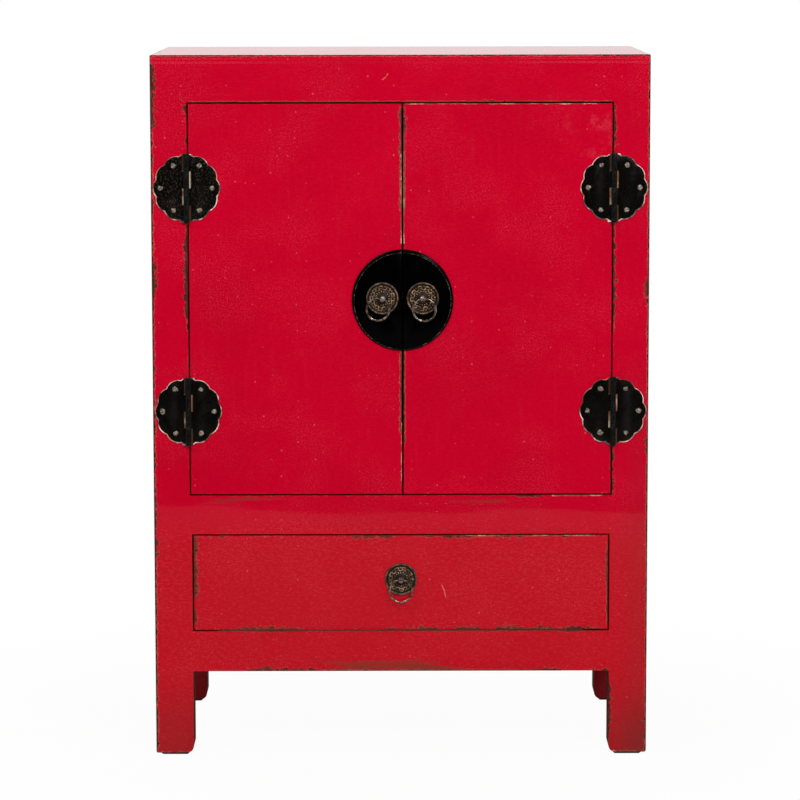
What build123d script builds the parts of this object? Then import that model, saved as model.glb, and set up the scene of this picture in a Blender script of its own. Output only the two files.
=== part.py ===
from build123d import *
import math
import os

# A red lacquered cabinet: two flush doors above one flush drawer, on four posts that run down as legs.
# Millimetres. +Z is up, the front faces -Y, and left is -X.
# The origin is on the floor, in the middle of the overall box with the pulls included.

# Case
CASE_WIDTH = 600.0
CASE_DEPTH = 360.0
POST_WIDTH = 46.0
RAIL_THICK = 20.0
GLIDE_HEIGHT = 3.0
GLIDE_WIDTH = 34.0
GLIDE_CHAMFER = 2.0
LEG_CLEAR = 102.0
BOTTOM_RAIL_HEIGHT = 49.5
DRAWER_OPENING = 120.0
MIDDLE_RAIL_HEIGHT = 47.5
DOOR_OPENING = 476.5
TOP_RAIL_HEIGHT = 47.5
TOP_BOARD_THICK = 9.0
EDGE_ROUND = 1.5
FOOT_EDGE_ROUND = 2.5
FOOT_INNER_ROUND = 9.0

# Joinery: tenons in mortises, panels in grooves
TENON_LENGTH = 22.0
TENON_THICK = 10.0
TENON_SHOULDER = 8.0
TENON_END_CLEAR = 1.0
GROOVE_DEPTH = 8.0
TONGUE_CLEAR = 1.0
FIT = 0.15

# Panels, floor and shelf
SIDE_PANEL_THICK = 10.0
SIDE_PANEL_SET = 5.0
BACK_PANEL_THICK = 8.0
BACK_PANEL_SET = 6.0
FLOOR_THICK = 12.0
BEARER_WIDTH = 24.0
SHELF_RISE = 230.0
SHELF_THICK = 12.0
SHELF_BATTEN_HEIGHT = 14.0

# Doors
DOOR_REBATE = 2.4
DOOR_GAP = 1.8
MEETING_GAP = 2.2
MEETING_OFFSET = 2.5
DOOR_EDGE_ROUND = 0.8
STOP_CLEAR = 0.3
STOP_STRIP_THICK = 12.0
STOP_STRIP_LAP = 12.0
STOP_STRIP_BED = 18.0
BATTEN_WIDTH = 30.0
BATTEN_PROUD = 8.0
BATTEN_SUNK = 5.0
BATTEN_FLARE = 1.5
BATTEN_INSET = 66.0
BATTEN_END = 14.0

# Hinges: two scalloped half discs, set close together, on a four-knuckle barrel in front of the face
HINGE_RADIUS = 42.0
HINGE_LOBES = 12
LOBE_RISE = 2.5
LEAF_CLOSE = 1.4
HINGE_INSET = 103.0
HINGE_OUT = 1.5
LEAF_THICK = 1.2
KNUCKLE_RADIUS = 3.5
KNUCKLE_COUNT = 4
KNUCKLE_GAP = 0.3
BARREL_LENGTH = 82.6
BARREL_CLEAR = 0.2
BARREL_SLIT = 2.0
PIN_RADIUS = 1.95
PIN_FIT = 0.05
PIN_HEAD_RADIUS = 3.0
PIN_HEAD_HEIGHT = 0.8

# Nails
NAIL_CIRCLE = 31.0
NAIL_SPREAD = 60.0
NAIL_HEAD_RADIUS = 3.4
NAIL_HEAD_HEIGHT = 2.0
NAIL_SHANK_RADIUS = 1.0
NAIL_HOLE_CLEAR = 0.05
NAIL_DEPTH = 12.0
NAIL_TIP = 2.0

# Lock plate, in two halves
LOCK_RADIUS = 61.2
LOCK_THICK = 3.0
LOCK_BEVEL_WIDTH = 3.0
LOCK_BEVEL_DEPTH = 1.2

# Pulls: a backplate, a ball-headed eye clinched behind the wood, and a ring
PULL_SPREAD = 24.4
PULL_RISE = 2.5
DRAWER_PULL_RISE = 4.4
PLATE_RADIUS = 19.5
PLATE_THICK = 1.6
PLATE_RIM_WIDTH = 2.4
PLATE_RIM_HEIGHT = 1.2
PLATE_BOSS_RADIUS = 6.0
PLATE_BOSS_HEIGHT = 1.0
EYE_STANDOFF = 6.0
EYE_BALL_RADIUS = 4.2
EYE_HOLE_RADIUS = 2.2
EYE_SHANK_RADIUS = 2.0
EYE_SHANK_CLEAR = 0.05
EYE_LEG_LENGTH = 11.0
EYE_LEG_WIDTH = 3.0
EYE_LEG_THICK = 0.8
RING_RADIUS = 13.6
RING_WIRE_RADIUS = 1.3
LEFT_EYE_TURN = 22.5
RIGHT_EYE_TURN = -8.0
DRAWER_EYE_TURN = 0.0

# Drawer
DRAWER_GAP = 1.8
DRAWER_FRONT_THICK = 18.0
DRAWER_SIDE_THICK = 12.0
DRAWER_SIDE_CLEAR = 2.5
DRAWER_SIDE_DROP = 8.0
DRAWER_RUN_CLEAR = 0.3
DRAWER_BACK_ROOM = 42.0
DRAWER_BACK_THICK = 12.0
DRAWER_BACK_DROP = 6.0
DRAWER_BOTTOM_THICK = 6.0
DRAWER_BOTTOM_RISE = 8.0
DRAWER_GROOVE = 6.0
DOVETAIL_COUNT = 3
DOVETAIL_LAP = 6.0
DOVETAIL_NECK = 16.0
DOVETAIL_FLARE = 2.0
DOVETAIL_MARGIN = 9.0
RUNNER_WIDTH = 24.0
RUNNER_HEIGHT = 20.0
GUIDE_RISE = 36.0
STOP_BLOCK_LENGTH = 12.0
STOP_BLOCK_HEIGHT = 20.0

# Levels and planes worked out from the sizes above
PULL_PROUD = LOCK_THICK + PLATE_THICK + EYE_STANDOFF + EYE_BALL_RADIUS
FRONT_Y = (PULL_PROUD - CASE_DEPTH) / 2
BACK_Y = FRONT_Y + CASE_DEPTH
HALF = CASE_WIDTH / 2
INNER = HALF - POST_WIDTH
DOOR_INNER = INNER + DOOR_REBATE
POST_BACK_Y = FRONT_Y + POST_WIDTH
REAR_POST_Y = BACK_Y - POST_WIDTH
RAIL_BACK_Y = FRONT_Y + RAIL_THICK
PANEL_OUTER = HALF - SIDE_PANEL_SET
PANEL_INNER = PANEL_OUTER - SIDE_PANEL_THICK
BACK_PANEL_Y = BACK_Y - BACK_PANEL_SET - BACK_PANEL_THICK
REAR_MIDDLE_Y = BACK_PANEL_Y - RAIL_THICK
TENON_CHEEK = (RAIL_THICK - TENON_THICK) / 2

BOTTOM_RAIL_Z = GLIDE_HEIGHT + LEG_CLEAR
DRAWER_Z = BOTTOM_RAIL_Z + BOTTOM_RAIL_HEIGHT
MIDDLE_RAIL_Z = DRAWER_Z + DRAWER_OPENING
DOOR_Z = MIDDLE_RAIL_Z + MIDDLE_RAIL_HEIGHT
SHELF_Z = DOOR_Z + SHELF_RISE
TOP_RAIL_Z = DOOR_Z + DOOR_OPENING
TOP_BOARD_Z = TOP_RAIL_Z + TOP_RAIL_HEIGHT
TOP_Z = TOP_BOARD_Z + TOP_BOARD_THICK

DOOR_THICK = RAIL_THICK - STOP_CLEAR
DOOR_BACK_Y = FRONT_Y + DOOR_THICK
LOCK_Z = DOOR_Z + DOOR_OPENING / 2
PULL_Z = LOCK_Z + PULL_RISE
DRAWER_PULL_Z = DRAWER_Z + DRAWER_OPENING / 2 + DRAWER_PULL_RISE
HINGE_X = DOOR_INNER - DOOR_GAP / 2 + HINGE_OUT
HINGE_AXIS_OUT = KNUCKLE_RADIUS + BARREL_CLEAR
HINGE_LEVELS = {"upper": TOP_RAIL_Z - HINGE_INSET, "lower": DOOR_Z + HINGE_INSET}
LEAF_EDGE = KNUCKLE_RADIUS + BARREL_SLIT

DRAWER_FRONT_BACK_Y = FRONT_Y + DRAWER_FRONT_THICK
DRAWER_END_Y = BACK_Y - DRAWER_BACK_ROOM
DRAWER_OUTER = INNER - DRAWER_SIDE_CLEAR
DRAWER_INNER = DRAWER_OUTER - DRAWER_SIDE_THICK
SIDE_Z = (DRAWER_Z + DRAWER_RUN_CLEAR, MIDDLE_RAIL_Z - DRAWER_SIDE_DROP)
DRAWER_BOTTOM_Z = SIDE_Z[0] + DRAWER_BOTTOM_RISE

SIDES = {"left": -1, "right": 1}


def slab(x, y, z):
    """A box between three pairs of limits, each given in either order."""
    sizes = [abs(b - a) for a, b in (x, y, z)]
    middle = [(a + b) / 2 for a, b in (x, y, z)]
    return Pos(*middle) * Box(*sizes)


def inset(span, amount):
    """A pair of limits drawn in at both ends, or grown where the amount is negative."""
    return (min(span) + amount, max(span) - amount)


def sided(side, inner, outer):
    """Limits in X on the left (-1) or right (+1), from distances out from the middle."""
    return (side * inner, side * outer)


def rod_y(radius, x, y, z):
    """A round bar or hole along Y between two limits."""
    return Pos(x, sum(y) / 2, z) * Rot(90, 0, 0) * Cylinder(radius, abs(y[1] - y[0]))


def turned_y(points):
    """A solid turned about the Y axis from an outline of (radius, y) points."""
    return revolve(make_face(Polyline(*points, close=True).edges()), Axis.Y)


# Frame

FRONT_RAILS = {
    "front_top_rail": (TOP_RAIL_Z, TOP_BOARD_Z),
    "front_middle_rail": (MIDDLE_RAIL_Z, DOOR_Z),
    "front_bottom_rail": (BOTTOM_RAIL_Z, DRAWER_Z),
}
REAR_RAILS = {
    "rear_top_rail": (TOP_RAIL_Z, TOP_BOARD_Z),
    "rear_bottom_rail": (BOTTOM_RAIL_Z, DRAWER_Z),
}
SIDE_RAILS = {
    "side_top_rail": (TOP_RAIL_Z, TOP_BOARD_Z),
    "side_bottom_rail": (BOTTOM_RAIL_Z, DRAWER_Z),
}
CROSS_RAILS = {name: ((FRONT_Y, RAIL_BACK_Y), z) for name, z in FRONT_RAILS.items()}
CROSS_RAILS.update({name: ((BACK_Y - RAIL_THICK, BACK_Y), z) for name, z in REAR_RAILS.items()})
CROSS_RAILS["rear_middle_rail"] = ((REAR_MIDDLE_Y, BACK_PANEL_Y), (MIDDLE_RAIL_Z, DOOR_Z))


def cross_tenons(y, z, room=0.0, end_room=0.0):
    """Both tenons of a rail along X as one bar, or with room added, the cut for their mortises."""
    reach = INNER + TENON_LENGTH + end_room
    return slab((-reach, reach), inset(y, TENON_CHEEK - room), inset(z, TENON_SHOULDER - room))


def side_tenons(side, z, room=0.0, end_room=0.0):
    """Both tenons of a rail along Y as one bar, or with room added, the cut for their mortises."""
    x = inset(sided(side, HALF - RAIL_THICK, HALF), TENON_CHEEK - room)
    y = inset((POST_BACK_Y, REAR_POST_Y), -TENON_LENGTH - end_room)
    return slab(x, y, inset(z, TENON_SHOULDER - room))


def side_panel(side, tongue, room=0.0):
    """A side panel with its tongue, or with room added, the cut for its grooves."""
    x = inset(sided(side, PANEL_INNER, PANEL_OUTER), -room)
    y = inset((POST_BACK_Y, REAR_POST_Y), -tongue)
    return slab(x, y, inset((DRAWER_Z, TOP_RAIL_Z), -tongue))


def back_panel(tongue, room=0.0):
    """The back panel with its tongue, or with room added, the cut for its grooves."""
    y = inset((BACK_PANEL_Y, BACK_PANEL_Y + BACK_PANEL_THICK), -room)
    return slab(inset((-INNER, INNER), -tongue), y, inset((DRAWER_Z, TOP_RAIL_Z), -tongue))


def foot_corner(side, y):
    """What is worn off the inner bottom corner of a foot to leave it round."""
    x = sided(side, INNER, INNER + FOOT_INNER_ROUND)
    z = (GLIDE_HEIGHT, GLIDE_HEIGHT + FOOT_INNER_ROUND)
    return slab(x, y, z) - rod_y(FOOT_INNER_ROUND, x[1], y, z[1])


def post(side, front):
    """A corner post from floor to top board, rounded at its outer edge and its foot.

    The inner corner of the foot is worn rounder than the rest. A front post is cut back
    beside the door, which closes against the step.
    """
    y = (FRONT_Y, POST_BACK_Y) if front else (REAR_POST_Y, BACK_Y)
    body = slab(sided(side, INNER, HALF), y, (GLIDE_HEIGHT, TOP_BOARD_Z))
    outer_y = FRONT_Y if front else BACK_Y
    corner = Vector(side * HALF, outer_y, TOP_BOARD_Z / 2)
    body = fillet(body.edges().filter_by(Axis.Z).sort_by_distance(corner)[0], EDGE_ROUND)
    body = fillet(body.faces().sort_by(Axis.Z)[0].edges(), FOOT_EDGE_ROUND)
    body -= foot_corner(side, y)
    for rail_y, z in CROSS_RAILS.values():
        body -= cross_tenons(rail_y, z, FIT, TENON_END_CLEAR)
    for z in SIDE_RAILS.values():
        body -= side_tenons(side, z, FIT, TENON_END_CLEAR)
    body -= side_panel(side, GROOVE_DEPTH, FIT)
    body -= back_panel(GROOVE_DEPTH, FIT)
    if front:
        body -= slab(sided(side, INNER, DOOR_INNER), (FRONT_Y, RAIL_BACK_Y), (DOOR_Z, TOP_RAIL_Z))
        for level in HINGE_LEVELS.values():
            body -= nail_holes(side, side, level)
    return body


def cross_rail(name):
    """A rail along X with a tenon at each end."""
    y, z = CROSS_RAILS[name]
    rail = slab((-INNER, INNER), y, z) + cross_tenons(y, z)
    return rail - back_panel(GROOVE_DEPTH, FIT)


def side_rail(side, z):
    """A rail along Y, flush with the outside, with a tenon at each end."""
    body = slab(sided(side, HALF - RAIL_THICK, HALF), (POST_BACK_Y, REAR_POST_Y), z)
    return body + side_tenons(side, z) - side_panel(side, GROOVE_DEPTH, FIT)


def top_board():
    """The thin board that lies flush on posts and rails."""
    board = slab((-HALF, HALF), (FRONT_Y, BACK_Y), (TOP_BOARD_Z, TOP_Z))
    board = fillet(board.edges().filter_by(Axis.Z), EDGE_ROUND)
    return fillet(board.faces().sort_by(Axis.Z)[-1].edges(), EDGE_ROUND)


def foot_glides():
    """A square glide under each post, with its lower edges taken off."""
    middle_x = HALF - POST_WIDTH / 2
    rows = (FRONT_Y + POST_WIDTH / 2, BACK_Y - POST_WIDTH / 2)
    glide = Box(GLIDE_WIDTH, GLIDE_WIDTH, GLIDE_HEIGHT)
    glide = chamfer(glide.faces().sort_by(Axis.Z)[0].edges(), GLIDE_CHAMFER)
    return [Pos(side * middle_x, y, GLIDE_HEIGHT / 2) * glide for side in SIDES.values() for y in rows]


# Inside the case

def board_between_panels(z):
    """A level board that fills the case from side panel to side panel, behind the posts."""
    x = inset((-PANEL_INNER, PANEL_INNER), FIT)
    return slab(x, inset((POST_BACK_Y, REAR_POST_Y), FIT), z)


def cupboard_floor():
    """The board under the cupboard, notched round the posts."""
    z = (DOOR_Z - FLOOR_THICK, DOOR_Z)
    between_posts = slab(inset((-INNER, INNER), FIT), (RAIL_BACK_Y, REAR_MIDDLE_Y), z)
    return between_posts + board_between_panels(z)


def floor_bearers():
    """Two bars that carry the cupboard floor and keep the open drawer from tipping."""
    y = (RAIL_BACK_Y, REAR_MIDDLE_Y)
    z = (MIDDLE_RAIL_Z, DOOR_Z - FLOOR_THICK)
    return [slab(sided(side, INNER - BEARER_WIDTH, INNER), y, z) for side in SIDES.values()]


def shelf():
    """The loose shelf between the posts."""
    return board_between_panels((SHELF_Z, SHELF_Z + SHELF_THICK))


def shelf_battens():
    """Two battens from post to post that carry the shelf."""
    y = (POST_BACK_Y, REAR_POST_Y)
    z = (SHELF_Z - SHELF_BATTEN_HEIGHT, SHELF_Z)
    return [slab(sided(side, INNER, PANEL_INNER), y, z) for side in SIDES.values()]


def door_stops():
    """A strip behind the top rail and one on the cupboard floor, for the doors to close on."""
    y = (RAIL_BACK_Y, RAIL_BACK_Y + STOP_STRIP_THICK)
    x = (-INNER, INNER)
    upper = slab(x, y, (TOP_RAIL_Z - STOP_STRIP_LAP, TOP_RAIL_Z + STOP_STRIP_BED))
    lower = slab(inset(x, FIT), y, (DOOR_Z, DOOR_Z + STOP_STRIP_LAP))
    return [upper, lower]


def drawer_runners():
    """Two bars between the bottom rails that the drawer slides on."""
    y = (RAIL_BACK_Y, BACK_Y - RAIL_THICK)
    z = (DRAWER_Z - RUNNER_HEIGHT, DRAWER_Z)
    return [slab(sided(side, INNER - RUNNER_WIDTH, INNER), y, z) for side in SIDES.values()]


def drawer_guides():
    """Two bars beside the runners that keep the drawer straight."""
    y = (POST_BACK_Y, REAR_POST_Y)
    z = (DRAWER_Z - RUNNER_HEIGHT, DRAWER_Z + GUIDE_RISE)
    return [slab(sided(side, INNER, HALF - RAIL_THICK), y, z) for side in SIDES.values()]


def drawer_stops():
    """A block at the back of each runner that stops the drawer flush."""
    start = DRAWER_END_Y + STOP_CLEAR
    y = (start, start + STOP_BLOCK_LENGTH)
    z = (DRAWER_Z, DRAWER_Z + STOP_BLOCK_HEIGHT)
    return [slab(sided(side, INNER - RUNNER_WIDTH, INNER), y, z) for side in SIDES.values()]


# Hinges and nails

def lobed_disc():
    """A scalloped plate around the hinge centre, lying against the front face."""
    step = 360 / HINGE_LOBES

    def rim(turns, radius):
        angle = math.radians(90 + turns * step)
        return (radius * math.cos(angle), radius * math.sin(angle))

    notch = HINGE_RADIUS - LOBE_RISE
    lobes = [
        ThreePointArc(rim(k - 0.5, notch), rim(k, HINGE_RADIUS), rim(k + 0.5, notch))
        for k in range(HINGE_LOBES)
    ]
    return extrude(Plane.XZ * make_face(lobes), LEAF_THICK)


def nail_places(hand, x, level):
    """Places of the three nails in the left (-1) or right (+1) leaf of a hinge."""
    for spread in (-NAIL_SPREAD, 0, NAIL_SPREAD):
        angle = math.radians(spread)
        yield (x + hand * NAIL_CIRCLE * math.cos(angle), level + NAIL_CIRCLE * math.sin(angle))


def nail_holes(hand, side, level):
    """Nail holes through one leaf of a hinge and into the wood behind it."""
    y = (FRONT_Y - LEAF_THICK, FRONT_Y + NAIL_DEPTH + NAIL_HOLE_CLEAR)
    radius = NAIL_SHANK_RADIUS + NAIL_HOLE_CLEAR
    return [rod_y(radius, x, y, z) for x, z in nail_places(hand, side * HINGE_X, level)]


def nails(hand, side):
    """The domed nails of one kind of leaf on both hinges of one side."""
    dome = (NAIL_HEAD_RADIUS**2 + NAIL_HEAD_HEIGHT**2) / (2 * NAIL_HEAD_HEIGHT)
    half_angle = math.asin(NAIL_HEAD_RADIUS / dome) / 2
    crown = (0, -NAIL_HEAD_HEIGHT)
    shoulder = (dome * math.sin(half_angle), dome - NAIL_HEAD_HEIGHT - dome * math.cos(half_angle))
    rim = (NAIL_HEAD_RADIUS, 0)
    point = (0, LEAF_THICK + NAIL_DEPTH)
    shank = [rim, (NAIL_SHANK_RADIUS, 0), (NAIL_SHANK_RADIUS, point[1] - NAIL_TIP), point, crown]
    outline = [ThreePointArc(crown, shoulder, rim)] + Polyline(*shank).edges()
    nail = revolve(make_face(outline), Axis.Y)
    seat = FRONT_Y - LEAF_THICK
    return [
        Pos(x, seat, z) * nail
        for level in HINGE_LEVELS.values()
        for x, z in nail_places(hand, side * HINGE_X, level)
    ]


def hinge_leaf(hand, side, level):
    """One leaf: half of the scalloped plate with two of the four knuckles rolled at its edge."""
    plate_x = (hand * LEAF_EDGE, hand * HINGE_RADIUS)
    plate_y = (-LEAF_THICK, 0)
    disc = Pos(-hand * LEAF_CLOSE, 0, 0) * lobed_disc()
    leaf = disc & slab(plate_x, plate_y, (-HINGE_RADIUS, HINGE_RADIUS))
    pitch = BARREL_LENGTH / KNUCKLE_COUNT
    first = 0 if hand > 0 else 1
    for k in range(first, KNUCKLE_COUNT, 2):
        z = inset((BARREL_LENGTH / 2 - (k + 1) * pitch, BARREL_LENGTH / 2 - k * pitch), KNUCKLE_GAP / 2)
        leaf += slab((0, hand * (LEAF_EDGE + BARREL_SLIT)), plate_y, z)
        leaf += Pos(0, -HINGE_AXIS_OUT, sum(z) / 2) * Cylinder(KNUCKLE_RADIUS, z[1] - z[0])
    leaf -= Pos(0, -HINGE_AXIS_OUT, 0) * Cylinder(PIN_RADIUS + PIN_FIT, BARREL_LENGTH)
    return Pos(side * HINGE_X, FRONT_Y, level) * leaf - nail_holes(hand, side, level)


def hinge_pins():
    """A pin with a peened head at each end, in every hinge."""
    head = Cylinder(PIN_HEAD_RADIUS, PIN_HEAD_HEIGHT)
    head_z = (BARREL_LENGTH + PIN_HEAD_HEIGHT) / 2
    pin = Cylinder(PIN_RADIUS, BARREL_LENGTH) + Pos(0, 0, head_z) * head + Pos(0, 0, -head_z) * head
    axis_y = FRONT_Y - HINGE_AXIS_OUT
    places = [(side * HINGE_X, axis_y, level) for side in SIDES.values() for level in HINGE_LEVELS.values()]
    return [Pos(*place) * pin for place in places]


# Pulls

def pull_plate(x, face_y, z):
    """A round backplate with a raised rim and a boss round the eye."""
    bore = EYE_SHANK_RADIUS + EYE_SHANK_CLEAR
    outline = [
        (bore, 0),
        (PLATE_RADIUS, 0),
        (PLATE_RADIUS, -PLATE_THICK),
        (PLATE_RADIUS - PLATE_RIM_WIDTH / 2, -PLATE_THICK - PLATE_RIM_HEIGHT),
        (PLATE_RADIUS - PLATE_RIM_WIDTH, -PLATE_THICK),
        (PLATE_BOSS_RADIUS, -PLATE_THICK),
        (PLATE_BOSS_RADIUS - PLATE_BOSS_HEIGHT, -PLATE_THICK - PLATE_BOSS_HEIGHT),
        (bore, -PLATE_THICK - PLATE_BOSS_HEIGHT),
    ]
    return Pos(x, face_y, z) * turned_y(outline)


def pull_eye(x, face_y, back_y, z, turn):
    """A ball-headed eye whose shank goes through plate and wood, with its legs bent over behind."""
    eye_y = face_y - PLATE_THICK - EYE_STANDOFF
    end_y = back_y + EYE_LEG_THICK - eye_y
    neck = (EYE_SHANK_RADIUS, math.sqrt(EYE_BALL_RADIUS**2 - EYE_SHANK_RADIUS**2))
    front = (0, -EYE_BALL_RADIUS)
    ball = ThreePointArc(front, (EYE_BALL_RADIUS, 0), neck)
    shank = Polyline(neck, (EYE_SHANK_RADIUS, end_y), (0, end_y), front)
    eye = revolve(make_face([ball] + shank.edges()), Axis.Y)
    leg_x = inset((0, 0), -EYE_LEG_WIDTH / 2)
    eye += slab(leg_x, (end_y - EYE_LEG_THICK, end_y), inset((0, 0), -EYE_LEG_LENGTH))
    eye -= Rot(0, 90 + turn, 0) * Cylinder(EYE_HOLE_RADIUS, 2 * EYE_BALL_RADIUS)
    return Pos(x, eye_y, z) * eye


def pull_ring(x, face_y, z, turn):
    """A ring hanging from the eye."""
    hang = Pos(0, 0, -RING_RADIUS) * Rot(90, 0, 0) * Torus(RING_RADIUS, RING_WIRE_RADIUS)
    return Pos(x, face_y - PLATE_THICK - EYE_STANDOFF, z) * Rot(0, turn, 0) * hang


def eye_hole(x, z, y):
    """The hole that an eye's shank goes through."""
    return rod_y(EYE_SHANK_RADIUS + EYE_SHANK_CLEAR, x, y, z)


# Doors

def door_x(side):
    """Limits of a door in X, from its hinge edge to its meeting edge."""
    return (side * (DOOR_INNER - DOOR_GAP), MEETING_OFFSET + side * MEETING_GAP / 2)


def pull_x(side):
    return MEETING_OFFSET + side * PULL_SPREAD


def batten_bar(side, z, room=0.0):
    """A batten with dovetailed edges, or with room added, the groove that it slides into.

    The groove runs out at the hinge edge, and the batten stops short of the post.
    """
    hinge_edge, meeting_edge = door_x(side)
    start = hinge_edge if room else side * (INNER - DOOR_GAP)
    half = BATTEN_WIDTH / 2 + room
    neck = half - BATTEN_FLARE
    sunk_y = DOOR_BACK_Y - BATTEN_SUNK - room
    proud_y = DOOR_BACK_Y + BATTEN_PROUD
    outline = [
        (sunk_y, z - half),
        (DOOR_BACK_Y, z - neck),
        (proud_y, z - neck),
        (proud_y, z + neck),
        (DOOR_BACK_Y, z + neck),
        (sunk_y, z + half),
    ]
    end = meeting_edge + side * (BATTEN_END - room)
    section = Plane.YZ.offset(min(start, end)) * make_face(Polyline(*outline, close=True).edges())
    return extrude(section, abs(end - start))


def batten_levels():
    return (TOP_RAIL_Z - DOOR_GAP - BATTEN_INSET, DOOR_Z + DOOR_GAP + BATTEN_INSET)


def door_battens(side):
    """Two battens across the back of a door."""
    return [batten_bar(side, z) for z in batten_levels()]


def door_board(side):
    """A door: one flush board, grooved behind for its battens."""
    z = inset((DOOR_Z, TOP_RAIL_Z), DOOR_GAP)
    board = slab(door_x(side), (FRONT_Y, DOOR_BACK_Y), z)
    board = fillet(board.faces().sort_by(Axis.Y)[0].edges(), DOOR_EDGE_ROUND)
    for batten_z in batten_levels():
        board -= batten_bar(side, batten_z, FIT)
    for level in HINGE_LEVELS.values():
        board -= nail_holes(-side, side, level)
    return board - eye_hole(pull_x(side), PULL_Z, (FRONT_Y, DOOR_BACK_Y))


def lock_plate(side):
    """Half of the round plate with a bevelled rim, cut off at the door's meeting edge."""
    outline = [
        (0, 0),
        (LOCK_RADIUS, 0),
        (LOCK_RADIUS, LOCK_BEVEL_DEPTH - LOCK_THICK),
        (LOCK_RADIUS - LOCK_BEVEL_WIDTH, -LOCK_THICK),
        (0, -LOCK_THICK),
    ]
    disc = Pos(MEETING_OFFSET, FRONT_Y, LOCK_Z) * turned_y(outline)
    meeting_edge = door_x(side)[1]
    x = (meeting_edge, meeting_edge + side * LOCK_RADIUS)
    y = (FRONT_Y - LOCK_THICK, FRONT_Y)
    half = disc & slab(x, y, inset((LOCK_Z, LOCK_Z), -LOCK_RADIUS))
    return half - eye_hole(pull_x(side), PULL_Z, y)


# Drawer

def dovetails(side, room=0.0):
    """The tails on the front end of a drawer side, or with room added, their sockets."""
    first = max(SIDE_Z[0], DRAWER_Z + DRAWER_GAP) + DOVETAIL_MARGIN + DOVETAIL_NECK / 2
    last = SIDE_Z[1] - DOVETAIL_MARGIN - DOVETAIL_NECK / 2
    tip_y = FRONT_Y + DOVETAIL_LAP - room
    reach = (DRAWER_INNER - room, DRAWER_OUTER if room == 0 else INNER)
    neck = DOVETAIL_NECK / 2 + room
    tails = []
    for k in range(DOVETAIL_COUNT):
        z = first + (last - first) * k / (DOVETAIL_COUNT - 1)
        outline = [
            (DRAWER_FRONT_BACK_Y, z - neck),
            (DRAWER_FRONT_BACK_Y, z + neck),
            (tip_y, z + neck + DOVETAIL_FLARE),
            (tip_y, z - neck - DOVETAIL_FLARE),
        ]
        start = min(sided(side, *reach))
        section = Plane.YZ.offset(start) * make_face(Polyline(*outline, close=True).edges())
        tails.append(extrude(section, reach[1] - reach[0]))
    return tails


def drawer_bottom(tongue, room=0.0):
    """The drawer bottom with its tongue, or with room added, the cut for its grooves."""
    x = inset((-DRAWER_INNER, DRAWER_INNER), -tongue)
    y = (DRAWER_FRONT_BACK_Y - tongue, DRAWER_END_Y)
    return slab(x, y, inset((DRAWER_BOTTOM_Z, DRAWER_BOTTOM_Z + DRAWER_BOTTOM_THICK), -room))


def drawer_front():
    """The flush drawer front, socketed for the sides and grooved for the bottom."""
    z = inset((DRAWER_Z, MIDDLE_RAIL_Z), DRAWER_GAP)
    front = slab(inset((-INNER, INNER), DRAWER_GAP), (FRONT_Y, DRAWER_FRONT_BACK_Y), z)
    front = fillet(front.faces().sort_by(Axis.Y)[0].edges(), DOOR_EDGE_ROUND)
    for side in SIDES.values():
        front -= dovetails(side, FIT)
    front -= drawer_bottom(DRAWER_GROOVE, FIT)
    return front - eye_hole(0, DRAWER_PULL_Z, (FRONT_Y, DRAWER_FRONT_BACK_Y))


def drawer_side(side):
    """A drawer side with its tails, grooved for the bottom."""
    board = slab(sided(side, DRAWER_INNER, DRAWER_OUTER), (DRAWER_FRONT_BACK_Y, DRAWER_END_Y), SIDE_Z)
    return board + dovetails(side) - drawer_bottom(DRAWER_GROOVE, FIT)


def drawer_back():
    """The drawer back, between the sides and on the bottom."""
    z = (DRAWER_BOTTOM_Z + DRAWER_BOTTOM_THICK, SIDE_Z[1] - DRAWER_BACK_DROP)
    return slab((-DRAWER_INNER, DRAWER_INNER), (DRAWER_END_Y - DRAWER_BACK_THICK, DRAWER_END_Y), z)


# All nodes

def frame_nodes():
    nodes = {}
    for name, side in SIDES.items():
        nodes[f"post_front_{name}"] = post(side, True)
        nodes[f"post_rear_{name}"] = post(side, False)
        nodes[f"side_panel_{name}"] = side_panel(side, GROOVE_DEPTH - TONGUE_CLEAR)
        for rail, z in SIDE_RAILS.items():
            nodes[f"{rail}_{name}"] = side_rail(side, z)
    for rail in CROSS_RAILS:
        nodes[rail] = cross_rail(rail)
    nodes["back_panel"] = back_panel(GROOVE_DEPTH - TONGUE_CLEAR)
    nodes["top_board"] = top_board()
    nodes["foot_glides"] = foot_glides()
    nodes["cupboard_floor"] = cupboard_floor()
    nodes["floor_bearers"] = floor_bearers()
    nodes["shelf"] = shelf()
    nodes["shelf_battens"] = shelf_battens()
    nodes["door_stops"] = door_stops()
    nodes["drawer_runners"] = drawer_runners()
    nodes["drawer_guides"] = drawer_guides()
    nodes["drawer_stops"] = drawer_stops()
    nodes["hinge_pins"] = hinge_pins()
    nodes["frame_hinge_nails"] = nails(-1, -1) + nails(1, 1)
    return nodes


def door_nodes(name, side, turn):
    nodes = {
        f"door_{name}": door_board(side),
        f"door_battens_{name}": door_battens(side),
        f"lock_plate_{name}": lock_plate(side),
        f"door_hinge_nails_{name}": nails(-side, side),
    }
    face_y = FRONT_Y - LOCK_THICK
    x = pull_x(side)
    nodes[f"pull_plate_{name}"] = pull_plate(x, face_y, PULL_Z)
    nodes[f"pull_eye_{name}"] = pull_eye(x, face_y, DOOR_BACK_Y, PULL_Z, turn)
    nodes[f"pull_ring_{name}"] = pull_ring(x, face_y, PULL_Z, turn)
    for level_name, level in HINGE_LEVELS.items():
        nodes[f"hinge_{level_name}_{name}_frame_leaf"] = hinge_leaf(side, side, level)
        nodes[f"hinge_{level_name}_{name}_door_leaf"] = hinge_leaf(-side, side, level)
    return nodes


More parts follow.
